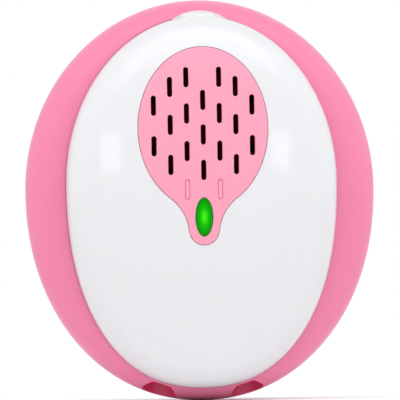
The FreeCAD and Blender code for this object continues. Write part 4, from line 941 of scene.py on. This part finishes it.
def shell_cuts(lip):
    """What is cut from the shell: door recess, cell, probe hole, hinge bore, notch, holes."""
    half, top = DOOR_HALF_WIDTH + FIT_GAP, DOOR_TOP_Y + FIT_GAP
    foot = HINGE_Y - DOOR_THICK / 2 - FIT_GAP
    corner = DOOR_CORNER + FIT_GAP
    radii = (lip + SPARE, corner, corner, lip + SPARE)
    hole, room = PROBE_RADIUS + PROBE_GAP, PROBE_RADIUS + PROBE_FLANGE + PROBE_GAP
    cuts = [stack("door_recess",
                  lambda grow: rounded_rectangle(-half, half, foot, top, radii, grow),
                  pit(DOOR_THICK + FIT_GAP, lip)),
            block("battery_room", -CELL_HALF_LENGTH, CELL_HALF_LENGTH, *CELL_Y, 0.0,
                  CELL_CEILING),
            stack("probe_hole", lambda grow: circle(hole + grow, 0, PROBE_Y, FINE),
                  pit(PROBE_SEAT_Z + OVER, lip, -PROBE_RING_PROUD)),
            lathe("probe_room", [(room, PROBE_SEAT_Z), (room, RIM_Z)], 0, PROBE_Y)]
    reach = DOOR_HALF_WIDTH + HINGE_PIN_LENGTH + FIT_GAP
    cuts.append(hinge_rod("hinge_bore", HINGE_BORE, reach, 32))
    cuts.append(stack("nail_notch", nail_outline, pit(NAIL_DEPTH, lip)))
    for x, y in CASE_SCREWS:
        cuts.append(stack("screw_hole", lambda grow: circle(
            SCREW_HEAD_RADIUS + POST_GAP + grow, x, y, 64), pit(SCREW_SUNK_Z, lip)))
        cuts.append(lathe("shank_hole", [(SHANK_GAP_RADIUS, SCREW_SUNK_Z - OVER),
                                         (SHANK_GAP_RADIUS, SEAT_Z)], x, y, 40))
    for side in (-1, 1):
        carry = socket_frame(side)
        profile = [(RECESS_RADIUS, -RECESS_RADIUS)]
        profile += [(RECESS_RADIUS - lip + lip * math.cos(a),
                     RECESS_DEPTH - lip + lip * math.sin(a))
                    for a in np.linspace(0, math.pi / 2, 5)]
        cuts.append(lathe("socket_recess", profile, carry=carry))
        bore = FERRULE_RADIUS + FERRULE_GAP
        cuts.append(lathe("socket_hole", [(bore, 0.0), (bore, FERRULE_HOLE_DEPTH)], count=64,
                          carry=carry))
    return cuts


def paint_recess_shade(material, colour):
    """Paints shade into the sockets' recesses: a darker, deeper pink inside them, with a soft edge
    at the mouth.
    """
    tree = material.node_tree
    shader = tree.nodes["Principled BSDF"]
    tone = shader.inputs["Base Color"].links[0].from_socket
    foot = stand([(JACK_X, lower_edge(CASE_EGG, JACK_X), JACK_Z)])[0]
    tilt = math.radians(JACK_TILT)
    place = add(tree, "ShaderNodeTexCoord").outputs["Object"]
    parts = add(tree, "ShaderNodeSeparateXYZ", {0: place})
    mirrored = add(tree, "ShaderNodeCombineXYZ", {
        "X": maths(tree, "ABSOLUTE", parts.outputs["X"]), "Y": parts.outputs["Y"],
        "Z": parts.outputs["Z"]}).outputs["Vector"]
    local = vector_maths(tree, "SUBTRACT", mirrored, tuple(foot))
    axis = (-math.sin(tilt), 0.0, math.cos(tilt))
    away = vector_maths(tree, "LENGTH", vector_maths(tree, "CROSS_PRODUCT", local, axis))
    deep = vector_maths(tree, "DOT_PRODUCT", local, axis)
    near, far = RECESS_SHADE_BLEND
    inside = [add(tree, "ShaderNodeMapRange", {
        "Value": measure, "From Min": (limit + far) * MM, "From Max": (limit + near) * MM}
        ).outputs["Result"] for measure, limit in ((away, RECESS_RADIUS), (deep, RECESS_DEPTH))]
    # mixes the painted recess shade into the base colour
    tree.links.new(tint(tree, maths(tree, "MULTIPLY", *inside), tone, colour),
                   shader.inputs["Base Color"])


def nail_outline(grow):
    """Half-round scoop that runs over the foot of the door's tongue."""
    sweep = np.radians(np.linspace(*NAIL_SWEEP))
    centre_y = DOOR_TOP_Y - NAIL_RADIUS / 2
    arc = np.stack([(NAIL_RADIUS + grow) * np.cos(sweep),
                    centre_y + (NAIL_RADIUS + grow) * np.sin(sweep)], axis=1)
    foot = DOOR_TOP_Y - NAIL_LAND
    return np.concatenate([arc, [(arc[-1, 0], foot - grow), (arc[0, 0], foot - grow)]])


class DOPPLER_OT_rear_shell(bpy.types.Operator):
    """Pink shell: band, back, door recess, battery cell, probe ring, screw holes and sockets"""
    bl_idname = "doppler.rear_shell"
    bl_label = "Rear shell"

    def execute(self, context):
        shape, finish = context.scene.doppler_shape, context.scene.doppler_finish
        angles = np.linspace(0, 2 * math.pi, shape.columns, endpoint=False)
        shell = loft("rear_shell_moulding", shell_rows(angles, shape.band_lip))
        combine(shell, shell_additions(), "UNION")
        combine(shell, shell_cuts(shape.edge_lip), "DIFFERENCE")
        pink = moulded("pink_gloss_plastic", finish.pink, 0.36, grain=0.000006,
                       grain_scale=520.0, depth=0.10, coat=0.12, drift=0.012)
        # paints shade into the sockets' recesses
        paint_recess_shade(pink, finish.recess_shade_pink)
        finish_piece(shell, "case", ["rear_shell"], pink)
        return {"FINISHED"}


# ---------------------------------------------------------------------------------- speaker grille
def slot_cutter(lip, depth):
    """Solid that cuts a slot with a rounded mouth, its mouth at the height 0, opening upwards."""
    levels = [(grow, -z) for grow, z in pit(depth, lip)]
    return stack("slot", lambda grow: stadium(SLOT_WIDTH, SLOT_LENGTH, grow), levels)


def groove_cutter():
    """Solid that cuts the groove round a blind slot's plug."""
    levels = ((0.0, OVER), (0.0, -BLIND_DEPTH),
              (-BLIND_GROOVE, -BLIND_DEPTH), (-BLIND_GROOVE, OVER))
    rows = [flat_row(stadium(SLOT_WIDTH, SLOT_LENGTH, grow), z) for grow, z in levels]
    return loft("groove", rows, ends=False)


def lens_ring(sunk, grow=0.0, share=1.0, drop=0.0):
    """The lens's oval, grown and then shrunk to a share, on the dome lowered by sunk and drop."""
    outline = oval((LENS_WIDTH / 2 + grow) * share, (LENS_HEIGHT / 2 + grow) * share,
                   LENS_CENTRE_Y)
    return flat_row(outline, dome_z(*outline.T, sunk) - drop)


def slot_places(columns):
    """Middles of the slots of these columns, on both sides of the middle one."""
    places = []
    for column, heights in columns.items():
        for side in ((-1, 1) if column else (1,)):
            x = side * column * SLOT_PITCH_X
            places += [(x, y, 0.0) for y in heights]
    return places


class DOPPLER_OT_speaker_grille(bpy.types.Operator):
    """Pink teardrop with its slots, over the dark cloth that covers the speaker"""
    bl_idname = "doppler.speaker_grille"
    bl_label = "Speaker grille"

    def execute(self, context):
        shape, finish = context.scene.doppler_shape, context.scene.doppler_finish
        lip = shape.cover_lip
        directions = np.linspace(-math.pi, math.pi, shape.columns, endpoint=False)
        top = fan(drop_outline(-GRILLE_GAP - lip), directions)
        steps = 26
        rows = [dome_row(top * (i + 0.5) / (steps + 0.5), directions, -GRILLE_PROUD)
                for i in range(steps + 1)]
        rows += drop_lip(directions, -GRILLE_GAP - lip, lip, -GRILLE_PROUD)
        side = fan(drop_outline(-GRILLE_GAP), directions)
        rows.append(dome_row(side, directions, GRILLE_DEPTH))
        rows += [dome_row(side * (i + 0.5) / (steps + 1), directions, GRILLE_DEPTH)
                 for i in range(steps, -1, -5)]
        grille = loft("speaker_grille_plate", rows)
        pink = moulded("pink_satin_plastic", finish.grille_pink, 0.3, grain=0.000012,
                       grain_scale=2200.0, depth=0.10, drift=0.012)
        column, height = BLIND_SLOT
        blind = slot_places({column: (height,)})
        cuts = [copies("slots", slot_places(SLOT_COLUMNS),
                       slot_cutter(shape.slot_lip, GRILLE_DEPTH + OVER), pink),
                copies("plugs", blind, slot_cutter(BLIND_FLOOR / 2, BLIND_FLOOR), pink),
                copies("grooves", blind, groove_cutter(), pink)]
        cuts = [drape(cut, -GRILLE_PROUD) for cut in cuts]
        hole = loft("lens_hole", [lens_ring(-GRILLE_PROUD, LENS_GAP + grow, 1.0, drop) for
                                  grow, drop in pit(GRILLE_DEPTH + OVER, shape.slot_lip / 2)])
        combine(grille, [*cuts, hole], "DIFFERENCE")
        finish_piece(grille, "case", ["speaker_grille"], pink)
        paint(["dust_cloth"], woven("dust_cloth_weave", (0.022, 0.0005, 0.0025), 0.0004))
        return {"FINISHED"}


class DOPPLER_OT_indicator(bpy.types.Operator):
    """Green oval lens over its light-emitting diode"""
    bl_idname = "doppler.indicator"
    bl_label = "Indicator lens"

    def execute(self, context):
        finish = context.scene.doppler_finish
        crown, middle = 10, 0.3
        rows = [lens_ring(-LENS_PROUD, -LENS_EDGE, (i + middle) / (crown - 1 + middle))
                for i in range(crown)]
        rows += [lens_ring(-LENS_PROUD, LENS_EDGE * math.sin(a) - LENS_EDGE, 1.0,
                           LENS_EDGE * (1 - math.cos(a))) for a in quarter(6)]
        rows.append(lens_ring(GRILLE_DEPTH))
        lens = loft("indicator_lens", rows)
        lit = glowing_lens("lit_green_lens", finish.glow, finish.glow_rim)
        finish_piece(lens, "case", ["led_lens"], lit)
        paint(["signal_led"], stuff("green_diode", (0.15, 0.9, 0.1), 0.2, height=0.000002,
                                    Transmission_Weight=0.4))
        return {"FINISHED"}


# -------------------------------------------------------------------------------------- thumbwheel
def teeth_tree():
    """Tree that sets one tooth on each of the points round a wheel, turned to face outwards."""
    tree = new_tree("wheel teeth", [
        ("Tooth", "NodeSocketObject", None), ("Teeth", "NodeSocketInt", 80),
        ("Radius", "NodeSocketFloat", 0.01), ("Centre", "NodeSocketVector", (0.0, 0.0, 0.0)),
        ("Material", "NodeSocketMaterial", None)])
    inside = add(tree, "NodeGroupInput")
    ring = add(tree, "GeometryNodeMeshCircle", {
        "Vertices": inside.outputs["Teeth"], "Radius": inside.outputs["Radius"]})
    place = add(tree, "GeometryNodeInputIndex").outputs[0]
    share = maths(tree, "DIVIDE", place, inside.outputs["Teeth"])
    angles = add(tree, "ShaderNodeCombineXYZ", {"Z": maths(tree, "MULTIPLY", share, math.tau)})
    teeth = instances(tree, inside, "Tooth", ring.outputs["Mesh"],
                      Rotation=angles.outputs["Vector"])
    upright = add(tree, "GeometryNodeTransform", {
        "Geometry": teeth, "Translation": inside.outputs["Centre"],
        "Rotation": (math.pi / 2, 0.0, 0.0)})
    both = add(tree, "GeometryNodeJoinGeometry", {"Geometry": upright.outputs["Geometry"]})
    tree.links.new(inside.outputs["Geometry"], both.inputs["Geometry"])
    end_tree(tree, inside, both.outputs["Geometry"])
    return tree


def wheel_tooth(teeth, depth):
    """One V-shaped tooth, its foot on the wheel's rim, pointing along +x, about the rim's point."""
    half = math.pi * (WHEEL_RADIUS - depth) / teeth
    tip_height, tip_width = TOOTH_TIP
    sections = []
    for z, share in ((0.0, TOOTH_END), (TOOTH_CHAMFER, 1.0), (WHEEL_THICK - TOOTH_CHAMFER, 1.0),
                     (WHEEL_THICK, TOOTH_END)):
        reach, tip = depth * share * tip_height, half * tip_width
        sections.append([(-TOOTH_ROOT, -half, z), (0.0, -half, z), (reach, -tip, z),
                         (reach, tip, z), (0.0, half, z), (-TOOTH_ROOT, half, z)])
    vertices = np.array(sections).reshape(-1, 3) * MM
    return new_piece("tooth", vertices, tube_faces(len(sections[0]), len(sections)))


class DOPPLER_OT_thumbwheel(bpy.types.Operator):
    """White serrated volume wheel"""
    bl_idname = "doppler.thumbwheel"
    bl_label = "Thumbwheel"

    def execute(self, context):
        shape, finish = context.scene.doppler_shape, context.scene.doppler_finish
        rim, top = WHEEL_RADIUS - shape.tooth_depth, WHEEL_Z + WHEEL_THICK
        channel = WHEEL_RADIUS - WHEEL_RIM
        profile = [(SHAFT_RADIUS, top)]
        profile += [(rim - a, top - b) for a, b in softened(WHEEL_SOFT)]
        profile += [(rim - b, WHEEL_Z + a) for a, b in softened(WHEEL_SOFT)]
        profile += [(channel, WHEEL_Z), (channel, top - WHEEL_WEB),
                    (WHEEL_HUB_RADIUS, top - WHEEL_WEB), (WHEEL_HUB_RADIUS, WHEEL_Z),
                    (SHAFT_RADIUS, WHEEL_Z)]
        rows = [flat_row(circle(r, 0, WHEEL_CENTRE_Y, FINE), z) for r, z in profile]
        wheel = loft("volume_thumbwheel", rows, ends=False)
        white = moulded("wheel_white_plastic", finish.wheel, 0.32, grain=0.00001,
                        grain_scale=1500.0, depth=0.08, drift=0.02)
        tooth = wheel_tooth(shape.wheel_teeth, shape.tooth_depth)
        centre = stand([(0, WHEEL_CENTRE_Y, WHEEL_Z)])[0]
        run_tree(wheel, teeth_tree(), {
            "Tooth": tooth, "Teeth": shape.wheel_teeth, "Radius": rim * MM,
            "Centre": tuple(centre), "Material": white})
        bpy.data.objects.remove(tooth)
        finish_piece(wheel, "wheel", ["volume_wheel"], white)
        return {"FINISHED"}


# ------------------------------------------------------------------------------------ battery door
class DOPPLER_OT_battery_door(bpy.types.Operator):
    """Hinged pink door with its snap tongue, grip lines and hinge pins"""
    bl_idname = "doppler.battery_door"
    bl_label = "Battery door"

    def execute(self, context):
        lip = context.scene.doppler_shape.edge_lip
        half = TONGUE_WIDTH / 2
        radii = (lip + SPARE, DOOR_CORNER, DOOR_CORNER, lip + SPARE)
        door = stack("battery_door_panel", lambda grow: rounded_rectangle(
            -DOOR_HALF_WIDTH, DOOR_HALF_WIDTH, HINGE_Y, DOOR_TOP_Y, radii, grow),
            rounding(0.0, 0.0, lip, 6) + [(0.0, DOOR_THICK)])
        rods = [hinge_rod("hinge_rod", DOOR_THICK / 2, DOOR_HALF_WIDTH, 48),
                hinge_rod("hinge_rod", HINGE_PIN_RADIUS, DOOR_HALF_WIDTH + HINGE_PIN_LENGTH, 48)]
        hook_half = half - TONGUE_SLOT
        rods.append(block("hook", -hook_half, hook_half, DOOR_TOP_Y - HOOK_THICK,
                          DOOR_TOP_Y + HOOK_REACH, DOOR_THICK - HOOK_THICK, DOOR_THICK))
        combine(door, rods, "UNION")
        start = DOOR_TOP_Y - TONGUE_LENGTH
        end, square = TONGUE_SLOT / 2 - SQUARE, 2 * SQUARE
        mouth = [(DOOR_BEVEL, -OVER), *softened(DOOR_BEVEL)]
        cuts = []
        for side in (-1, 1):
            x0, x1 = sorted((side * half, side * (half + TONGUE_SLOT)))
            cuts.append(stack("tongue_gap", lambda grow: rounded_rectangle(
                x0, x1, start, DOOR_TOP_Y + OVER, (end, square, square, end), grow),
                [*mouth, (0.0, DOOR_THICK + OVER)]))
        cuts.append(stack("nail_land", nail_outline, [*mouth, (0.0, NAIL_DEPTH / 2)]))
        combine(door, cuts, "DIFFERENCE")
        length, width, depth = DOOR_RIB
        line = stack("grip_line", lambda grow: stadium(width, length, grow)[:, ::-1] * (1, -1),
                     pit(depth, width / 6))
        first = start - DOOR_RIB_START
        places = [(0.0, first - i * DOOR_RIB_PITCH, 0.0) for i in range(DOOR_RIBS)]
        pink = bpy.data.materials["pink_gloss_plastic"]
        lines = copies("grip_lines", places, line, pink)
        combine(door, [lines], "DIFFERENCE")
        finish_piece(door, "door", ["battery_door"], pink)
        paint(["battery_door_pad"], stuff("grey_foam", (0.09, 0.09, 0.095), 0.95, 1800.0, 0.00015,
                                          0.5))
        return {"FINISHED"}


# ------------------------------------------------------------------------------------------- probe
class DOPPLER_OT_probe(bpy.types.Operator):
    """Round probe window on the back, over its crystals, backing and shield"""
    bl_idname = "doppler.probe"
    bl_label = "Probe"

    def execute(self, context):
        face, back = -PROBE_PROUD, -PROBE_PROUD + PROBE_DEPTH
        flat, flange, wall = (PROBE_RADIUS - PROBE_EDGE, PROBE_RADIUS + PROBE_FLANGE,
                              PROBE_RADIUS - PROBE_WALL)
        low = PROBE_SEAT_Z + PROBE_FLANGE_LIFT
        high = low + PROBE_FLANGE_THICK
        profile = [(PROBE_POLE, face)] + [(flat * share, face) for share in (0.25, 0.5, 0.75)]
        profile += rounding(PROBE_RADIUS, face, PROBE_EDGE, 10)
        profile += [(PROBE_RADIUS, low), (flange, low), (flange, high), (PROBE_RADIUS, high),
                    (PROBE_RADIUS, back), (wall, back), (wall, face + PROBE_FACE_THICK),
                    (PROBE_POLE, face + PROBE_FACE_THICK)]
        window = lathe("probe_window", profile, 0, PROBE_Y, FINE)
        grey = moulded("probe_grey_plastic", (0.62, 0.62, 0.64), 0.22, grain=0.000008,
                       grain_scale=700.0, depth=0.06, coat=0.2, drift=0.02)
        finish_piece(window, "case", ["probe_face"], grey)
        paint(["probe_gasket"], stuff("black_seal", (0.02, 0.02, 0.02), 0.7, 900.0))
        paint(["transmit_crystal", "receive_crystal"],
              stuff("piezo_ceramic", (0.62, 0.55, 0.42), 0.6, 1200.0, 0.00001))
        paint(["probe_backing"], stuff("dark_epoxy", (0.05, 0.042, 0.035), 0.45, 400.0))
        return {"FINISHED"}


# ----------------------------------------------------------------------------------------- screws
class DOPPLER_OT_case_screws(bpy.types.Operator):
    """Four cross-head screws deep in the back of the case"""
    bl_idname = "doppler.case_screws"
    bl_label = "Case screws"

    def execute(self, context):
        steel = metal("zinc_steel", (0.62, 0.62, 0.64), 0.28)
        low, high = SCREW_SUNK_Z - SCREW_HEAD_HEIGHT, SCREW_SUNK_Z
        end = high + SCREW_LENGTH
        profile = [(SCREW_POLE, low)]
        profile += rounding(SCREW_HEAD_RADIUS, low, SCREW_HEAD_HEIGHT / 2, 7)
        profile += [(SCREW_HEAD_RADIUS, high), (SCREW_RADIUS, high), (SCREW_RADIUS, end),
                    (SCREW_POLE, end)]
        screw = lathe("screw", profile, count=48)
        width, length, depth = SCREW_CROSS
        bars = [block("cross", -a / 2, a / 2, -b / 2, b / 2, low - OVER, low + depth)
                for a, b in ((width, length), (length, width))]
        combine(screw, bars, "DIFFERENCE")
        screws = copies("case_screw_set", [(x, y, 0.0) for x, y in CASE_SCREWS], screw, steel)
        finish_piece(screws, "case", ["case_screws"], steel)
        return {"FINISHED"}


# ---------------------------------------------------------------------------------------- sockets
class DOPPLER_OT_sockets(bpy.types.Operator):
    """Metal noses of the two earphone sockets"""
    bl_idname = "doppler.sockets"
    bl_label = "Earphone sockets"

    def execute(self, context):
        nickel = metal("bright_nickel", (0.78, 0.77, 0.75), 0.16)
        front, back = RECESS_DEPTH + FERRULE_SUNK, RECESS_DEPTH + RECESS_WALL + HOUSING_GAP
        profile = [(JACK_BORE, back)]
        profile += [(JACK_BORE + b, front + a) for a, b in softened(FERRULE_SOFT)]
        profile += [(FERRULE_RADIUS - a, front + b) for a, b in softened(FERRULE_SOFT)]
        profile += [(FERRULE_RADIUS, back)]
        for side, name in ((-1, "left"), (1, "right")):
            carry = socket_frame(side)
            rows = [carry(flat_row(circle(r, count=64), u)) for r, u in profile]
            nose = loft("socket_nose_" + name, rows, ends=False)
            finish_piece(nose, "case", ["jack_ferrule_" + name], nickel)
        paint(["earphone_jack_left", "earphone_jack_right"],
              stuff("black_socket_plastic", (0.012, 0.012, 0.014), 0.4, 600.0))
        return {"FINISHED"}


# ----------------------------------------------------------------------------------- inner pieces
class DOPPLER_OT_inner_pieces(bpy.types.Operator):
    """Finishes for the battery, the electronics, the speaker and the wires"""
    bl_idname = "doppler.inner_pieces"
    bl_label = "Inner pieces"

    def execute(self, context):
        low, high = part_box("battery")
        black, gold, silver = (0.012, 0.012, 0.014), (0.45, 0.22, 0.07), (0.55, 0.55, 0.55)
        span = high.x - low.x
        bands = [(low.x + share * span, colour)
                 for share, colour in zip(CELL_BANDS, (gold, black, silver))]
        paint(["battery"], banded("battery_wrap", [(low.x, silver), *bands, (high.x, silver)],
                                  0.3))
        nickel = bpy.data.materials["bright_nickel"]
        steel = bpy.data.materials["zinc_steel"]
        paint(["battery_terminals", "battery_contacts", "board_capacitors", "board_crystal",
               "volume_shaft", "speaker_magnet"], nickel)
        paint(["wheel_screw", "board_screws", "jack_board_screws", "volume_control",
               "probe_shield"], steel)
        paint(["main_board", "jack_board"], stuff("green_board", (0.01, 0.13, 0.05), 0.35, 260.0,
                                                  0.00001, 0.25))
        paint(["board_chips"], stuff("chip_resin", (0.018, 0.018, 0.02), 0.6, 1500.0))
        paint(["board_connectors"], stuff("ivory_nylon", (0.72, 0.68, 0.55), 0.5, 500.0))
        paint(["speaker_cone"], stuff("paper_cone", (0.05, 0.05, 0.052), 0.85, 900.0, 0.00004))
        paint(["speaker_gasket"], woven("black_felt", (0.014, 0.002, 0.004), 0.0003))
        paint(["speaker_basket"], stuff("black_lacquer", (0.008, 0.004, 0.005), 0.6, 900.0,
                                        Specular_IOR_Level=0.1))
        paint(["battery_leads", "speaker_leads"], stuff("red_wire", (0.5, 0.015, 0.015), 0.45))
        paint(["probe_cables", "jack_cable"], stuff("grey_wire", (0.16, 0.16, 0.17), 0.45))
        return {"FINISHED"}


# ------------------------------------------------------------------------------------------ stage
def backdrop_rays(tree):
    """1 for the rays that look straight at the backdrop, or at its image in gloss or glass."""
    path = add(tree, "ShaderNodeLightPath")
    seen = path.outputs["Is Camera Ray"]
    for kind in ("Is Glossy Ray", "Is Transmission Ray"):
        seen = maths(tree, "MAXIMUM", seen, path.outputs[kind])
    return seen


def softbox(name, where, size, radiance, target):
    """Area lamp of this radiance that faces the target."""
    lamp = bpy.data.lights.new(name, "AREA")
    lamp.shape, lamp.size, lamp.size_y = "RECTANGLE", size[0], size[1]
    lamp.energy = radiance * math.pi * size[0] * size[1]
    holder = bpy.data.objects.new(name, lamp)
    holder.location = where
    holder.rotation_euler = (target - Vector(where)).to_track_quat("-Z", "Y").to_euler()
    bpy.context.scene.collection.objects.link(holder)


class DOPPLER_OT_stage(bpy.types.Operator):
    """Pale floor, soft studio light and the camera"""
    bl_idname = "doppler.stage"
    bl_label = "Stage"

    def execute(self, context):
        scene, stage = context.scene, context.scene.doppler_stage
        scene.view_settings.view_transform = "Standard"
        target = Vector(stand([(*CAMERA_AIM, RIM_Z)])[0])
        self.world(scene, stage)
        self.floor(cad_box[0][2], target)
        softbox("overhead", *OVERHEAD_BOX, stage.overhead, target)
        for side in (-1, 1):
            for name, ((x, y, z), size), radiance in (("side", SIDE_BOX, stage.sides),
                                                      ("front", FRONT_BOX, stage.sparkle)):
                softbox(name, (side * x, y, z), size, radiance, target)
        camera = bpy.data.cameras.new("camera")
        camera.sensor_width = SENSOR_WIDTH
        camera.lens = camera.sensor_width * stage.camera_distance / stage.view_width
        holder = bpy.data.objects.new("camera", camera)
        turn = stage.camera_turn
        away = Vector((math.sin(turn), -math.cos(turn), 0.0)) * stage.camera_distance
        holder.location = target + away
        look = (-away).to_track_quat("-Z", "Y").to_matrix()
        roll = Matrix.Rotation(stage.camera_roll, 3, "Z")
        holder.rotation_euler = (look @ roll).to_euler()
        scene.collection.objects.link(holder)
        scene.camera = holder
        return {"FINISHED"}

    def world(self, scene, stage):
        """Light from all round; the rays that see it directly get plain white."""
        world = bpy.data.worlds.new("studio")
        scene.world = world
        tree = empty_nodes(world)
        white = add(tree, "ShaderNodeBackground", {"Color": (1, 1, 1, 1), "Strength": 1.0})
        around = add(tree, "ShaderNodeBackground", {"Color": (0.96, 0.97, 1.0, 1),
                                                    "Strength": stage.around})
        mix = add(tree, "ShaderNodeMixShader", {
            0: backdrop_rays(tree), 1: around.outputs[0], 2: white.outputs[0]})
        add(tree, "ShaderNodeOutputWorld", {"Surface": mix.outputs[0]})

    def floor(self, height, target):
        """Paper that keeps the shadow near the object and fades to plain white further out."""
        corners = ((-1, -1), (1, -1), (1, 1), (-1, 1))
        floor = new_piece("floor", [(x * FLOOR_REACH, y * FLOOR_REACH, height)
                                    for x, y in corners], [(0, 1, 2, 3)])
        material = bpy.data.materials.new("floor_paper")
        tree = empty_nodes(material)
        place = add(tree, "ShaderNodeTexCoord").outputs["Object"]
        away = vector_maths(tree, "DISTANCE", place, (0.0, target.y, height))
        fade = add(tree, "ShaderNodeMapRange", {
            "Value": away, "From Min": FLOOR_FADE[0], "From Max": FLOOR_FADE[1]},
            interpolation_type="SMOOTHERSTEP").outputs["Result"]
        paper = add(tree, "ShaderNodeBsdfDiffuse", {"Color": (1, 1, 1, 1)})
        white = add(tree, "ShaderNodeEmission", {"Color": (1, 1, 1, 1), "Strength": 1.0})
        mix = add(tree, "ShaderNodeMixShader", {
            0: maths(tree, "MULTIPLY", fade, backdrop_rays(tree)), 1: paper.outputs[0],
            2: white.outputs[0]})
        add(tree, "ShaderNodeOutputMaterial", {"Surface": mix.outputs[0]})
        floor.data.materials.append(material)


# ----------------------------------------------------------------------------------- registration
class DOPPLER_PT_panel(bpy.types.Panel):
    """Lists the steps that build the doppler"""
    bl_idname = "DOPPLER_PT_panel"
    bl_label = "Pocket Doppler"
    bl_space_type = "VIEW_3D"
    bl_region_type = "UI"
    bl_category = "Doppler"

    def draw(self, context):
        layout = self.layout
        for group in (context.scene.doppler_shape, context.scene.doppler_finish,
                      context.scene.doppler_stage):
            box = layout.box()
            for name in group.__annotations__:
                box.prop(group, name)
        for step in STEPS:
            layout.operator(step.bl_idname)


STEPS = (
    DOPPLER_OT_rear_shell,
    DOPPLER_OT_front_cover,
    DOPPLER_OT_speaker_grille,
    DOPPLER_OT_indicator,
    DOPPLER_OT_thumbwheel,
    DOPPLER_OT_battery_door,
    DOPPLER_OT_probe,
    DOPPLER_OT_case_screws,
    DOPPLER_OT_sockets,
    DOPPLER_OT_inner_pieces,
    DOPPLER_OT_stage,
)
GROUPS = {"doppler_shape": DopplerShape, "doppler_finish": DopplerFinish,
          "doppler_stage": DopplerStage}


def register():
    """Registers the properties, the steps and the panel."""
    for group in GROUPS.values():
        bpy.utils.register_class(group)
    for name, group in GROUPS.items():
        setattr(bpy.types.Scene, name, PointerProperty(type=group))
    for step in (*STEPS, DOPPLER_PT_panel):
        bpy.utils.register_class(step)


def unregister():
    """Takes them away again."""
    for step in reversed((*STEPS, DOPPLER_PT_panel)):
        bpy.utils.unregister_class(step)
    for name, group in GROUPS.items():
        delattr(bpy.types.Scene, name)
        bpy.utils.unregister_class(group)


def main():
    """Builds everything."""
    register()
    for step in STEPS:
        getattr(bpy.ops.doppler, step.bl_idname.split(".")[1])()


if __name__ == "__main__":
    main()
